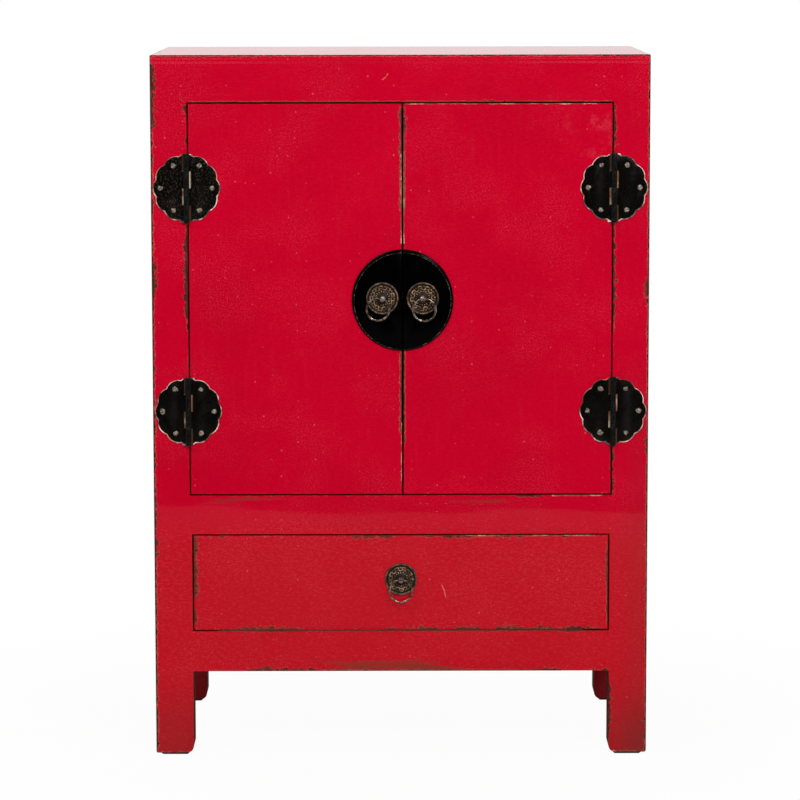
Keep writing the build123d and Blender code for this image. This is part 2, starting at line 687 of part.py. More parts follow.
def drawer_nodes():
    nodes = {
        "drawer_front": drawer_front(),
        "drawer_back": drawer_back(),
        "drawer_bottom": drawer_bottom(DRAWER_GROOVE - TONGUE_CLEAR),
        "pull_plate_drawer": pull_plate(0, FRONT_Y, DRAWER_PULL_Z),
        "pull_eye_drawer": pull_eye(0, FRONT_Y, DRAWER_FRONT_BACK_Y, DRAWER_PULL_Z, DRAWER_EYE_TURN),
        "pull_ring_drawer": pull_ring(0, FRONT_Y, DRAWER_PULL_Z, DRAWER_EYE_TURN),
    }
    for name, side in SIDES.items():
        nodes[f"drawer_side_{name}"] = drawer_side(side)
    return nodes


def save(name, piece):
    """Write one node: a single piece, or a group of like pieces."""
    pieces = piece if isinstance(piece, list) else [piece]
    solids = [solid for each in pieces for solid in each.solids()]
    shape = solids[0] if len(solids) == 1 else Compound(solids)
    export_step(shape, os.path.join("parts", f"{name}.step"))


os.makedirs("parts", exist_ok=True)
NODES = frame_nodes()
NODES.update(door_nodes("left", SIDES["left"], LEFT_EYE_TURN))
NODES.update(door_nodes("right", SIDES["right"], RIGHT_EYE_TURN))
NODES.update(drawer_nodes())
for node_name, node_piece in NODES.items():
    save(node_name, node_piece)
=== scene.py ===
# %% [markdown]
# A small red lacquered cabinet, old enough that its edges have worn down to the wood.
# The solids of its case, doors, drawer and fittings come in as a fixed frame, in metres,
# with the front towards -Y. The wooden pieces already have the right shape, so they keep
# it and get a finish. The fittings are small, hand made and close to the eye, so several
# of them are made again here with softer edges and more detail.

# %% Load the frame
import math
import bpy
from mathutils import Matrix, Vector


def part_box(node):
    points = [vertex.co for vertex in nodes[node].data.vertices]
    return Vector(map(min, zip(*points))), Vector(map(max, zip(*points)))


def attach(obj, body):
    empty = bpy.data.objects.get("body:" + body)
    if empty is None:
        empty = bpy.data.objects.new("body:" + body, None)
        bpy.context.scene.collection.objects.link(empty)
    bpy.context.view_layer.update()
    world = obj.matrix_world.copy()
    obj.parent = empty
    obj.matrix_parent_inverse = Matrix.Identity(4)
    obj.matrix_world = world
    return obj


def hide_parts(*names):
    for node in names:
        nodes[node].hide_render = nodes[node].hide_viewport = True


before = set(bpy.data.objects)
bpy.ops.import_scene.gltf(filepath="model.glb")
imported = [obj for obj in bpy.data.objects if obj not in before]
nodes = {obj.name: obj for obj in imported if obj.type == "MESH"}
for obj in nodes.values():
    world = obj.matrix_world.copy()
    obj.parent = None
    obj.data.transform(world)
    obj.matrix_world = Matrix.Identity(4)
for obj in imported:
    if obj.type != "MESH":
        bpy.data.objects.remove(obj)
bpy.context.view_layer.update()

from types import SimpleNamespace

import bmesh
import bpy
from mathutils import Matrix, Vector

scene = bpy.context.scene
scene.view_settings.view_transform = "Standard"

# %% [markdown]
# Wear follows edges, and edges lie on a few planes: the front, the outer sides, and the
# levels where rails, doors and drawer meet. They could be typed in, but reading them from
# the solids keeps every finish in step with the model.

# %% Read the main planes
post_low, post_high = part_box("post_front_right")
door_low, door_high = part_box("door_right")
drawer_low, drawer_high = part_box("drawer_front")
top_low, top_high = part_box("top_board")
apron_low, apron_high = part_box("front_bottom_rail")
middle_low, middle_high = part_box("front_middle_rail")
panel_low, panel_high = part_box("side_panel_right")
back_low, back_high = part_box("back_panel")
LINTEL_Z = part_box("front_top_rail")[0].z
FRONT_Y = post_low.y
BACK_Y = top_high.y
OUTER = top_high.x
LEG_INNER = post_low.x
DOOR_GAP = door_low.z - middle_high.z
print("front", round(FRONT_Y, 4), "back", round(BACK_Y, 4), "half width", round(OUTER, 4))

# %% [markdown]
# The camera stands where the photograph was taken: straight in front, a little above the
# top, far back with a long lens, looking slightly down. Its place was worked out from the
# corners of the front, the back edge of the top and the feet.

# %% Camera
CAMERA_AT = Vector((-0.0098, -4.464, 0.9817))
LOOK_DOWN = math.radians(7.211)
LOOK_ASIDE = math.radians(-0.12)
TILT = math.radians(-0.088)
SENSOR_WIDTH = 36.0
LENS = 160.78
camera_data = bpy.data.cameras.new("camera")
camera_data.sensor_width = SENSOR_WIDTH
camera_data.lens = LENS
camera = bpy.data.objects.new("camera", camera_data)
scene.collection.objects.link(camera)
turned = Matrix.Rotation(LOOK_ASIDE, 4, "Z") @ Matrix.Rotation(math.pi / 2 - LOOK_DOWN, 4, "X")
camera.matrix_world = Matrix.Translation(CAMERA_AT) @ turned @ Matrix.Rotation(TILT, 4, "Z")
scene.camera = camera
print("camera", tuple(round(v, 3) for v in camera.location), "lens", round(camera_data.lens, 1))

# %% [markdown]
# Every finish below is a tree of shader nodes. Written node by node, even a short formula
# takes a page, so one small class holds a socket and turns Python sums into Math nodes.
# Anything that isn't a sum comes from its node method: the node's type, its settings, and
# what goes into its sockets. The same class builds the Geometry Nodes trees.

# %% Sums on sockets
def pick(sockets, key):
    """A socket by its number, its identifier or its name."""
    if isinstance(key, int):
        return sockets[key]
    named = [s for s in sockets if s.identifier == key] or [s for s in sockets if s.name == key]
    return named[0]


def plug(tree, node, values):
    """Set or link a node's input sockets."""
    for key, value in values.items():
        socket = pick(node.inputs, key)
        if isinstance(value, Wire):
            tree.links.new(value.socket, socket)
        else:
            socket.default_value = value


class Wire:
    """An output socket that joins in sums, each of which adds a Math node to its tree."""

    def __init__(self, tree, socket=None):
        self.tree = tree
        self.socket = socket

    def node(self, kind, settings, values, output=0):
        """Add any node: its settings first, then the values or links of its sockets."""
        made = self.tree.nodes.new(kind)
        for key, value in settings.items():
            setattr(made, key, value)
        plug(self.tree, made, values)
        return Wire(self.tree, pick(made.outputs, output))

    def beside(self, output):
        """Another output of the node that this one comes from."""
        return Wire(self.tree, pick(self.socket.node.outputs, output))

    def math(self, operation, *values):
        return self.node("ShaderNodeMath", {"operation": operation}, dict(enumerate(values)))

    def __add__(self, other):
        return self.math("ADD", self, other)

    def __sub__(self, other):
        return self.math("SUBTRACT", self, other)

    def __rsub__(self, other):
        return self.math("SUBTRACT", other, self)

    def __mul__(self, other):
        return self.math("MULTIPLY", self, other)

    def __truediv__(self, other):
        return self.math("DIVIDE", self, other)

    def __abs__(self):
        return self.math("ABSOLUTE", self)

    __radd__ = __add__
    __rmul__ = __mul__

    def least(self, other):
        return self.math("MINIMUM", self, other)

    def most(self, other):
        return self.math("MAXIMUM", self, other)

    def root(self):
        return self.math("SQRT", self)

    def ease(self, low, high):
        """0 at the low value, 1 at the high one, and a soft step between. Low may be the larger."""
        limits = {"Value": self, "From Min": low, "From Max": high}
        return self.node("ShaderNodeMapRange", {"interpolation_type": "SMOOTHSTEP"}, limits)


# %% [markdown]
# Old finishes are mixtures: one colour laid over another where some pattern says so. These
# helpers mix colours, split a place into its axes and make the patterns. A painted picture
# would be the other way, but a pattern worked out from a place needs no seams, and its scale
# is simply a count per metre.

# %% Colours and patterns
def colour(red, green, blue):
    """A screen colour of 0 to 255 as the linear light that shaders work in."""
    linear = []
    for value in (red, green, blue):
        share = value / 255
        linear.append(share / 12.92 if share <= 0.04045 else ((share + 0.055) / 1.055) ** 2.4)
    return (*linear, 1.0)


def mixed(amount, first, second):
    """The first colour with the second laid over it, by an amount of 0 to 1."""
    values = {"Factor_Float": amount, "A_Color": first, "B_Color": second}
    return amount.node("ShaderNodeMix", {"data_type": "RGBA"}, values, "Result_Color")


def xyz(vector):
    """The three parts of a place, a direction or a random colour."""
    x = vector.node("ShaderNodeSeparateXYZ", {}, {0: vector}, "X")
    return x, x.beside("Y"), x.beside("Z")


def stretched(place, scales):
    return place.node("ShaderNodeVectorMath", {"operation": "MULTIPLY"}, {0: place, 1: scales})


def noise(place, scale, detail=2.0, roughness=0.5):
    values = {"Vector": place, "Scale": scale, "Detail": detail, "Roughness": roughness}
    return place.node("ShaderNodeTexNoise", {}, values)


def cells(flat, scale):
    """Flat cells around scattered points: the distance to the nearest point, in cell widths."""
    values = {"Vector": flat, "Scale": scale}
    return flat.node("ShaderNodeTexVoronoi", {"voronoi_dimensions": "2D"}, values)


# %% [markdown]
# A finish starts from a place on the piece, in the piece's own metres, and ends in one shader
# with a colour, a roughness and a fine relief. The relief is a bump, which only tilts the
# light. That is enough for brush marks and pores, while every real shape is modelled.

# %% Starting and ending a finish
def new_finish(name):
    """A material, and a wire of its Object coordinates to start a pattern from."""
    material = bpy.data.materials.new(name)
    material.use_nodes = True
    place = Wire(material.node_tree).node("ShaderNodeTexCoord", {}, {}, "Object")
    return material, place


def set_shader(material, values):
    plug(material.node_tree, material.node_tree.nodes["Principled BSDF"], values)
    print("finish", material.name, "with", len(material.node_tree.nodes), "nodes")
    return material


def bumped(height):
    """A normal from a height in metres."""
    return height.node("ShaderNodeBump", {}, {"Height": height, "Strength": 1.0, "Distance": 1.0})


def dress(material, *names):
    """Give solids of the frame a finish."""
    for name in names:
        for slot in nodes[name].material_slots:
            slot.material = material


# %% [markdown]
# The studio is a white paper floor that ends about two metres in front of the cabinet, a
# white backdrop, and a dim room behind the camera. That room is what the flat glossy
# front mirrors, so its red stays deep, while the lowest part of the front catches a little
# of the pale floor. The backdrop is the world seen by camera, glossy and transmission rays.
# For all other rays the world is a soft, even fill.

# %% World
FILL = 0.26
ROOM_DARKNESS = 0.97
ROOM_EDGE = (-0.25, -0.55)
WHITE = (1.0, 1.0, 1.0, 1.0)
world = bpy.data.worlds.new("studio")
world.use_nodes = True
scene.world = world
ray = Wire(world.node_tree).node("ShaderNodeLightPath", {}, {}, "Is Camera Ray")
glossy = ray.beside("Is Glossy Ray").most(ray.beside("Is Transmission Ray"))
_, heading_y, _ = xyz(ray.node("ShaderNodeTexCoord", {}, {}, "Generated"))
towards_room = heading_y.ease(*ROOM_EDGE)
mirrored = glossy * (1 - towards_room * ROOM_DARKNESS)
plain_fill = (1 - ray.most(glossy)) * FILL
plug(world.node_tree, world.node_tree.nodes["Background"], {
    "Color": WHITE,
    "Strength": ray + (1 - ray) * mirrored + plain_fill,
})
print("world fill", FILL)

# %% [markdown]
# The floor is one flat sheet. Lit paper never comes out evenly white, so for the camera most
# of it is a plain white glow, with just enough of the paper left to hold the shadow of the
# feet. Its far part is white to mirrored rays too, so that no grey floor shows in the gloss.

# %% Floor
FLOOR_FRONT = 1.92
FLOOR_REACH = 6.0
GLOW_NEAR = 0.965
SHADOW_ENDS = (0.4, 0.9)
MIRRORED_WHITE = (1.9, 3.4)
floor_mesh = bpy.data.meshes.new("floor")
near_y = FRONT_Y - FLOOR_FRONT
corners = [(-FLOOR_REACH, near_y, 0), (FLOOR_REACH, near_y, 0)]
corners += [(FLOOR_REACH, FLOOR_REACH, 0), (-FLOOR_REACH, FLOOR_REACH, 0)]
floor_mesh.from_pydata(corners, [], [(0, 1, 2, 3)])
floor = bpy.data.objects.new("floor", floor_mesh)
scene.collection.objects.link(floor)
paper, place = new_finish("paper")
paper_tree = paper.node_tree
distance = place.node("ShaderNodeVectorMath", {"operation": "LENGTH"}, {0: place}, "Value")
seen = place.node("ShaderNodeLightPath", {}, {}, "Is Camera Ray")
in_gloss = seen.beside("Is Glossy Ray").most(seen.beside("Is Transmission Ray"))
mirrored_far = in_gloss * distance.ease(*MIRRORED_WHITE)
faded = (seen * (GLOW_NEAR + (1 - GLOW_NEAR) * distance.ease(*SHADOW_ENDS))).most(mirrored_far)
glow = place.node("ShaderNodeEmission", {}, {"Color": WHITE, "Strength": 1.0})
paper_shader = paper_tree.nodes["Principled BSDF"]
plug(paper_tree, paper_shader, {
    "Base Color": colour(224, 224, 224),
    "Roughness": 0.9,
    "Specular IOR Level": 0.0,
})
blend = place.node("ShaderNodeMixShader", {}, {
    0: faded, 1: Wire(paper_tree, paper_shader.outputs[0]), 2: glow,
})
plug(paper_tree, paper_tree.nodes["Material Output"], {"Surface": blend})
floor_mesh.materials.append(paper)
print("floor starts", round(near_y, 2))

# %% [markdown]
# Two soft lamps stand in front: the smaller and stronger one on the right, which sends the
# shadows of the rings down to the left, and a large one high on the left. Being high, they
# light the top of the front more than the feet. A third lamp stands behind, for whoever
# walks round the cabinet. It is kept out of mirrored rays, or the top would glare.

# %% Lamps
LAMPS = {
    "key": ((1.1, -2.5, 1.95), 0.7, 39.0),
    "fill": ((-1.45, -1.9, 2.5), 1.4, 31.0),
    "behind": ((-0.6, 2.7, 2.1), 1.6, 34.0),
}
AIM = Vector((0.0, 0.0, 0.62))
for lamp_name, (lamp_at, lamp_size, lamp_power) in LAMPS.items():
    lamp_data = bpy.data.lights.new(lamp_name, "AREA")
    lamp_data.size = lamp_size
    lamp_data.energy = lamp_power
    lamp = bpy.data.objects.new(lamp_name, lamp_data)
    lamp.location = lamp_at
    lamp.rotation_euler = (AIM - Vector(lamp_at)).to_track_quat("-Z", "Y").to_euler()
    lamp.visible_glossy = lamp_name != "behind"
    scene.collection.objects.link(lamp)
print("lamps", ", ".join(LAMPS))

# %% [markdown]
# Bare wood shows inside the case, on the drawer's box, and wherever the lacquer has gone.
# Its grain is noise pulled out long along the board: the lines of equal height in one noise
# for the growth rings, as on a map, and fine streaks in another for the pores. A picture of
# wood would show more, but noise has no seams and runs on through the thickness of a board.

# %% Bare wood
ALONG = {"x": (0.07, 1.0, 1.0), "y": (1.0, 0.07, 1.0), "z": (1.0, 1.0, 0.07)}
WOOD_LIGHT = colour(196, 152, 106)
WOOD_DARK = colour(146, 100, 62)
PORE = colour(104, 68, 42)
DUST = colour(120, 88, 60)
RING_STEPS = 120.0


def grain(place, axis):
    """Wood colour and the height of its pores, with the grain along one axis."""
    run = stretched(place, ALONG[axis])
    bands = noise(run, 34.0, 3.0, 0.55)
    streaks = noise(run, 420.0, 3.0, 0.6)
    map_height = noise(run, 9.0, 2.0, 0.4) * RING_STEPS
    rings = map_height.math("SINE", map_height).ease(-0.3, 1.0)
    wood = mixed(rings * 0.5 + bands.ease(0.4, 0.7) * 0.35, WOOD_LIGHT, WOOD_DARK)
    pores = streaks.ease(0.54, 0.72)
    return mixed(pores * 0.55, wood, PORE), pores * -0.00006 + bands * 0.0001


def bare_wood(axis):
    material, place = new_finish(f"bare_wood_{axis}")
    wood, height = grain(place, axis)
    dusty = noise(place, 11.0, 3.0).ease(0.5, 0.8) * 0.25
    return set_shader(material, {
        "Base Color": mixed(dusty, wood, DUST),
        "Roughness": 0.5 + noise(place, 90.0) * 0.25,
        "Specular IOR Level": 0.3,
        "Normal": bumped(height),
    })


dress(bare_wood("x"), "cupboard_floor", "shelf", "door_stops", "drawer_back", "drawer_bottom",
      "rear_middle_rail", "door_battens_left", "door_battens_right")
dress(bare_wood("y"), "floor_bearers", "shelf_battens", "drawer_runners", "drawer_guides",
      "drawer_stops", "drawer_side_left", "drawer_side_right")

# %% [markdown]
# The lacquer is the cabinet. It is a deep cold red, brushed over the assembled frame, so
# it runs on over the joints. On the real piece the edges were rubbed through: ragged
# flakes show brown wood with a thin pale line of ground round them, and small pale specks
# lie all over. Painting that by hand would need a picture, so it is worked out instead.
# Each piece lists its edges. The distance to the nearest one, less a patchy amount, says
# where the wood shows, and flat random cells give the flakes their broken outline.

# %% Distance to edges and worn spots
def distance_to_edges(axes, edges):
    """How far the nearest edge is, in parts of its reach. An edge may span only a part."""
    nearest = None
    for (first, first_at), (second, second_at), reach, *span in edges:
        away = abs(axes[first] - first_at).most(abs(axes[second] - second_at))
        for along, start, end in span:
            away = away.most(abs(axes[along] - (start + end) / 2) - (end - start) / 2)
        nearest = away / reach if nearest is None else nearest.least(away / reach)
    return nearest


def extra_wear(axes, spots):
    """Places that are worn more than the rest: centre in two axes, radius, amount."""
    total = None
    for (first, first_at), (second, second_at), radius, amount in spots:
        across = axes[first] - first_at
        along = axes[second] - second_at
        away = (across * across + along * along).root()
        here = away.ease(radius, radius * 0.55) * amount
        total = here if total is None else total + here
    return total


# %% What all layers of the lacquer read
def start_coat(name, axis):
    """A new finish with the places and noises that all layers of its lacquer share."""
    material, place = new_finish(f"lacquer_{name}")
    x, y, z = xyz(place)
    run = stretched(place, ALONG[axis])
    return SimpleNamespace(
        material=material, axis=axis, place=place,
        axes={"x": x, "y": y, "z": z, "out": abs(x)},
        flat=place.node("ShaderNodeCombineXYZ", {}, {0: x + y * 1.3, 1: z + y * 0.6}),
        facing=place.node("ShaderNodeTexCoord", {}, {}, "Normal"),
        ragged=noise(place, 620.0, 3.0, 0.6),
        bites=noise(place, 150.0, 2.0) - 0.5,
        streaks=noise(run, 190.0, 3.0, 0.6),
        fibres=noise(run, 520.0, 3.0, 0.6),
        cloud=noise(place, 7.0, 3.0, 0.6),
        zone=noise(place, 13.0, 3.0, 0.6).ease(0.42, 0.66),
    )


# %% How deep the wear goes
FLAKES_PER_METRE = 230.0


def worn_depth(coat, edges, spots, rubbed):
    """Above 0 the wood is bare, and below it the lacquer holds. Also the nearest edge."""
    patches = noise(coat.place, 8.5, 2.0).ease(0.52, 0.7)
    if spots:
        patches = patches.most(extra_wear(coat.axes, spots))
    flake_tone, _, _ = xyz(cells(coat.flat, FLAKES_PER_METRE).beside("Color"))
    torn = coat.bites * 2.8 + flake_tone * 0.45 + (coat.ragged - 0.5) * 1.5
    nearest = distance_to_edges(coat.axes, edges)
    depth = patches * 0.95 - 0.55 + torn - nearest
    if rubbed:
        frayed = (coat.ragged - 0.5) * 2.0 + coat.bites * 2.0
        depth = depth.most((0.75 + frayed - distance_to_edges(coat.axes, rubbed)) * 0.4)
    return depth, nearest


# %% [markdown]
# Sound lacquer isn't one red either. It is clouded, a little warmer and more brushed below
# the doors, darker near the floor, partly from grime and partly as painted shade, and hazed
# where polish has dried. Each of these is a thin layer over the last, kept faint: together
# they stop a big flat door from looking printed.
# The pairs below are the levels, in metres, between which a change comes in.

# %% The red and its specks
RED = colour(203, 0, 40)
RED_LOW = colour(195, 0, 24)
RED_DEEP = colour(184, 0, 34)
RED_PALE = colour(224, 84, 96)
DARK_BROWN = colour(92, 44, 38)
WARM_BELOW = (0.33, 0.24)
BRUSHED_BELOW = (0.31, 0.28)
SHADE_AND_GRIME_BELOW = (0.16, 0.03)
DUSKY_BELOW = (0.6, 0.2)
DARKER_RIGHT_OF = (0.25, 0.29)
DUSKY_RIGHT_OF = (0.255, 0.295)
SPECKS_PER_METRE = 95.0


def red_coat(coat, hazes):
    """The sound lacquer, without its marks."""
    place, x, z = coat.place, coat.axes["x"], coat.axes["z"]
    red = mixed(coat.cloud.ease(0.35, 0.75) * 0.4, RED, RED_DEEP)
    red = mixed(z.ease(*WARM_BELOW), red, RED_LOW)
    haze = noise(place, 620.0, 2.0, 0.6).ease(0.5, 0.7) * (coat.zone * 0.26 + 0.05)
    hide = noise(stretched(place, (0.4, 1.0, 1.0)), 470.0, 2.0, 0.6).ease(0.46, 0.68)
    brushed = coat.streaks.ease(0.55, 0.8) * 0.03 + hide * (0.03 + z.ease(*BRUSHED_BELOW) * 0.09)
    red = mixed(haze + brushed, red, RED_PALE)
    # Darker towards the floor: partly grime, partly painted shade for the light that falls off towards
    # the feet.
    low = (z + noise(place, 14.0, 3.0) * 0.08).ease(*SHADE_AND_GRIME_BELOW)
    red = mixed(low * (0.26 + 0.2 * coat.streaks + x.ease(*DARKER_RIGHT_OF) * 0.2), red, DARK_BROWN)
    red = mixed(x.ease(*DUSKY_RIGHT_OF) * z.ease(*DUSKY_BELOW) * 0.16, red, DARK_BROWN)
    if hazes:
        veil = noise(place, 48.0, 4.0, 0.75).ease(0.46, 0.7)
        red = mixed(extra_wear(coat.axes, hazes) * veil, red, RED_PALE)
    return red


def specks(coat):
    """Where the pale specks are, and how big each of them is."""
    dot = cells(coat.flat, SPECKS_PER_METRE)
    chance, size, _ = xyz(dot.beside("Color"))
    speck = (size * size * 0.09 + 0.035 - dot).ease(0.0, 0.04)
    return speck * (chance + coat.zone * 0.3).ease(0.8, 1.0), size


# %% Seam lines, scuffs and scratches
GROUND = colour(214, 138, 112)
SCUFF = colour(122, 56, 40)
THIN_LINE = (0.0008, 0.0003)


def marked(coat, red, lines, scuffs, scratches):
    """The red with the marks that a piece lists: levels of lines, boxes of scuffs, scratches."""
    axes = coat.axes
    for line_axis, line_at in lines:
        line = abs(axes[line_axis] - line_at).ease(*THIN_LINE) * coat.ragged.ease(0.4, 0.6)
        line = line * (0.2 + axes["out"].ease(0.1, 0.22))
        red = mixed(line * 0.3, red, RED_PALE)
    for (left, right), (low_z, high_z) in scuffs:
        beyond = (abs(axes["x"] - (left + right) / 2) - (right - left) / 2) * 0.12
        beyond = beyond.most(abs(axes["z"] - (low_z + high_z) / 2) - (high_z - low_z) / 2)
        grazed = coat.bites * 0.8 + (coat.ragged - 0.5) * 1.2 + coat.streaks * 2 - 1.0 - beyond * 110
        red = mixed(grazed.ease(0.0, 0.8) * 0.8, red, SCUFF)
    for (start_x, start_z), (end_x, end_z) in scratches:
        reach = math.hypot(end_x - start_x, end_z - start_z)
        run_x, run_z = (end_x - start_x) / reach, (end_z - start_z) / reach
        aside_x, aside_z = axes["x"] - start_x, axes["z"] - start_z
        along = aside_x * run_x + aside_z * run_z
        across = abs(aside_x * run_z - aside_z * run_x)
        mark = across.ease(*THIN_LINE) * along.ease(0.0, 0.002)
        red = mixed(mark * (reach - along).ease(0.0, 0.002) * 0.6, red, GROUND)
    return red


# %% [markdown]
# Under the red lie a pale ground coat and the wood. Old bare wood is brown, with grey flecks
# and nearly black close to an edge. Some edges are only rubbed down to the ground, which
# leaves a thin pale line.

# %% Bared wood and ground
CREAM = colour(238, 204, 168)
WORN_DARK = colour(72, 27, 19)
WORN_MID = colour(124, 54, 37)
WORN_GREY = colour(146, 90, 66)
WORN_CORE = colour(34, 16, 11)


def bared_wood(coat, nearest, core):
    """The wood under worn lacquer. The core is how dark it gets close to its edge."""
    wood = mixed(coat.fibres.ease(0.4, 0.58), WORN_DARK, WORN_MID)
    wood = mixed(coat.ragged.ease(0.54, 0.66) * 0.6, wood, WORN_GREY)
    dark = nearest.ease(0.6, 0.2) * noise(coat.place, 70.0).ease(0.36, 0.56)
    return mixed((0.35 + dark * 0.65) * core, wood, WORN_CORE)


def pale_lines(coat, surface, pale):
    """Thin broken lines of ground along the edges that are listed as pale."""
    frayed = (coat.ragged - 0.5) * 2.4 + coat.bites * 2.6
    thin = 0.7 + frayed - distance_to_edges(coat.axes, pale)
    ground = mixed(coat.fibres.ease(0.4, 0.6), GROUND, CREAM)
    tan = mixed(noise(coat.place, 45.0).ease(0.44, 0.58), WORN_GREY, ground)
    return mixed(thin.ease(0.0, 0.3) * 0.9, surface, tan)


# %% [markdown]
# A hinge has a slit on each side of every knuckle, and there the brush never reached, so the
# old ground shows: pale in the middle of the hinge, brown at its ends. The hinges are the
# same on both sides and both levels, so the slits are found from the distance to the nearest
# hinge. The pairs are how far a slit reaches, in metres, with a soft edge.

# %% Slits of the hinges
upper_frame_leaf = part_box("hinge_upper_right_frame_leaf")
upper_door_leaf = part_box("hinge_upper_right_door_leaf")
lower_frame_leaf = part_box("hinge_lower_right_frame_leaf")
HINGE_X = (upper_frame_leaf[1].x + upper_door_leaf[0].x) / 2
HINGE_UPPER = (upper_frame_leaf[0].z + upper_frame_leaf[1].z) / 2
HINGE_LOWER = (lower_frame_leaf[0].z + lower_frame_leaf[1].z) / 2
HINGE_MIDDLE = (HINGE_UPPER + HINGE_LOWER) / 2
HINGE_HALF = (HINGE_UPPER - HINGE_LOWER) / 2
SLIT_SIDE = (0.0062, 0.0058)
SLIT_END = (0.0411, 0.0407)
SLIT_MIDDLE = (0.0213, 0.0201)
SLIT_DEPTH = (FRONT_Y + 0.005, FRONT_Y + 0.002)
SLIT_BROWN = colour(104, 66, 50)
SLIT_TAN = colour(172, 108, 74)
SLIT_PALE = colour(240, 218, 184)


def hinge_slits(coat, surface):
    axes = coat.axes
    beside = abs(abs(axes["z"] - HINGE_MIDDLE) - HINGE_HALF)
    slit = abs(axes["out"] - HINGE_X).ease(*SLIT_SIDE) * beside.ease(*SLIT_END)
    slit = slit * axes["y"].ease(*SLIT_DEPTH)
    old = mixed(noise(coat.place, 65.0, 2.0).ease(0.42, 0.6), SLIT_TAN, SLIT_PALE)
    return mixed(slit, surface, mixed(beside.ease(*SLIT_MIDDLE), SLIT_BROWN, old))


print("hinges", round(HINGE_X, 4), round(HINGE_UPPER, 4), round(HINGE_LOWER, 4))

# %% [markdown]
# No one lacquers what no one sees. The inner faces of a leg are dull and stained, the front
# of a rear leg is painted dark maroon as painted shade for the dark under the case, and inside
# the case all is bare wood. Which way a face looks tells them apart, so a post needs no second
# material.

# %% Faces that look inwards
SHADE_MAROON = colour(96, 2, 20)
STAIN_DARK = colour(44, 16, 12)
STAIN_BROWN = colour(92, 44, 30)
SOFT_EDGE = 0.002


def leg_faces(coat, surface, rough):
    """The inward faces of a post: stained below the apron, bare inside the case. The forward faces of a
    rear leg below the apron get a painted shade of dark maroon.
    """
    axes = coat.axes
    facing_x, facing_y, _ = xyz(coat.facing)
    inside = (facing_x * axes["x"]).ease(-0.1, -0.2)
    ahead = facing_y.ease(-0.6, -0.8) * axes["y"].ease(0.0, 0.05)
    leg_part = axes["z"].ease(apron_low.z + 2 * SOFT_EDGE, apron_low.z)
    # Painted shade: the forward faces of a rear leg below the apron turn dark maroon, for the dark under
    # the case.
    surface = mixed(ahead * leg_part * (0.5 + 0.15 * coat.cloud), surface, SHADE_MAROON)
    stained = mixed(coat.fibres.ease(0.4, 0.6), STAIN_DARK, STAIN_BROWN)
    surface = mixed(inside * leg_part * 0.9, surface, stained)
    case_part = (1 - leg_part) * axes["y"].ease(door_high.y, door_high.y + SOFT_EDGE)
    case_part = case_part * axes["out"].ease(panel_low.x + SOFT_EDGE, panel_low.x)
    case_part = case_part * axes["y"].ease(back_low.y + SOFT_EDGE, back_low.y)
    wood, _ = grain(coat.place, coat.axis)
    return mixed(inside.most(ahead) * case_part, surface, wood), rough + inside * 0.9


def bare_faces(coat, bare, surface, height, rough):
    """Plain wood on the faces that look along one direction."""
    wood, wood_height = grain(coat.place, coat.axis)
    turned_in = coat.facing.node("ShaderNodeVectorMath", {"operation": "DOT_PRODUCT"},
                                 {0: coat.facing, 1: bare}, "Value").ease(0.6, 0.7)
    surface = mixed(turned_in, surface, wood)
    height = height + turned_in * (wood_height - height)
    return surface, height, rough + turned_in * (0.6 - rough)


# %% Lacquer
SPECK = colour(240, 104, 112)
GLOSS = 0.13
WAVES = 0.0006
BRUSH_HEIGHT = 0.000004
COAT_THICK = 0.00025


def lacquer(name, axis, edges, spots=(), rubbed=(), pale=(), lines=(), scuffs=(), scratches=(),
            hazes=(), core=0.5, dull=0.0, bare=None, hinged=False, leg=False):
    """Red lacquer with its grain along an axis, worn at the given edges and spots.

    Rubbed edges are bare in a thin line only, and pale ones down to the ground coat. Faces
    that look along bare, a direction, were never lacquered. Hinged pieces show old ground in
    the slits of the hinges, and a leg has stained or bare inner faces.
    """
    coat = start_coat(name, axis)
    depth, nearest = worn_depth(coat, edges, spots, rubbed)
    gone = depth.ease(0.0, 0.1)
    ground = depth.ease(-0.1, 0.0) * (1 - gone)
    speck, speck_size = specks(coat)
    red = red_coat(coat, hazes)
    red = mixed(speck * (0.2 + speck_size * speck_size * 0.25), red, SPECK)
    red = marked(coat, red, lines, scuffs, scratches)
    surface = mixed(gone * 0.95, mixed(ground * 0.36, red, GROUND), bared_wood(coat, nearest, core))
    if pale:
        surface = pale_lines(coat, surface, pale)
    if hinged:
        surface = hinge_slits(coat, surface)
    height = noise(coat.place, 7.0, 1.0) * WAVES + coat.streaks * BRUSH_HEIGHT - gone * COAT_THICK
    rough = coat.cloud * 0.03 + gone * 0.55 + speck * 0.2 + (0.01 + dull)
    if leg:
        surface, rough = leg_faces(coat, surface, rough)
    if bare:
        surface, height, rough = bare_faces(coat, bare, surface, height, rough)
    return set_shader(coat.material, {
        "Base Color": surface,
        "Roughness": rough,
        "Specular IOR Level": GLOSS,
        "Normal": bumped(height),
    })


# %% [markdown]
# Now each piece gets its own wear. An edge is where two planes meet, with the reach of its
# wear and, if only a part is worn, the span of that part. A spot lies on a plane at some
# place along it, with its radius and amount. Hands, knees and brooms decide where: the
# outer posts, the edges round the doors and the drawer, the lower edge and the feet.

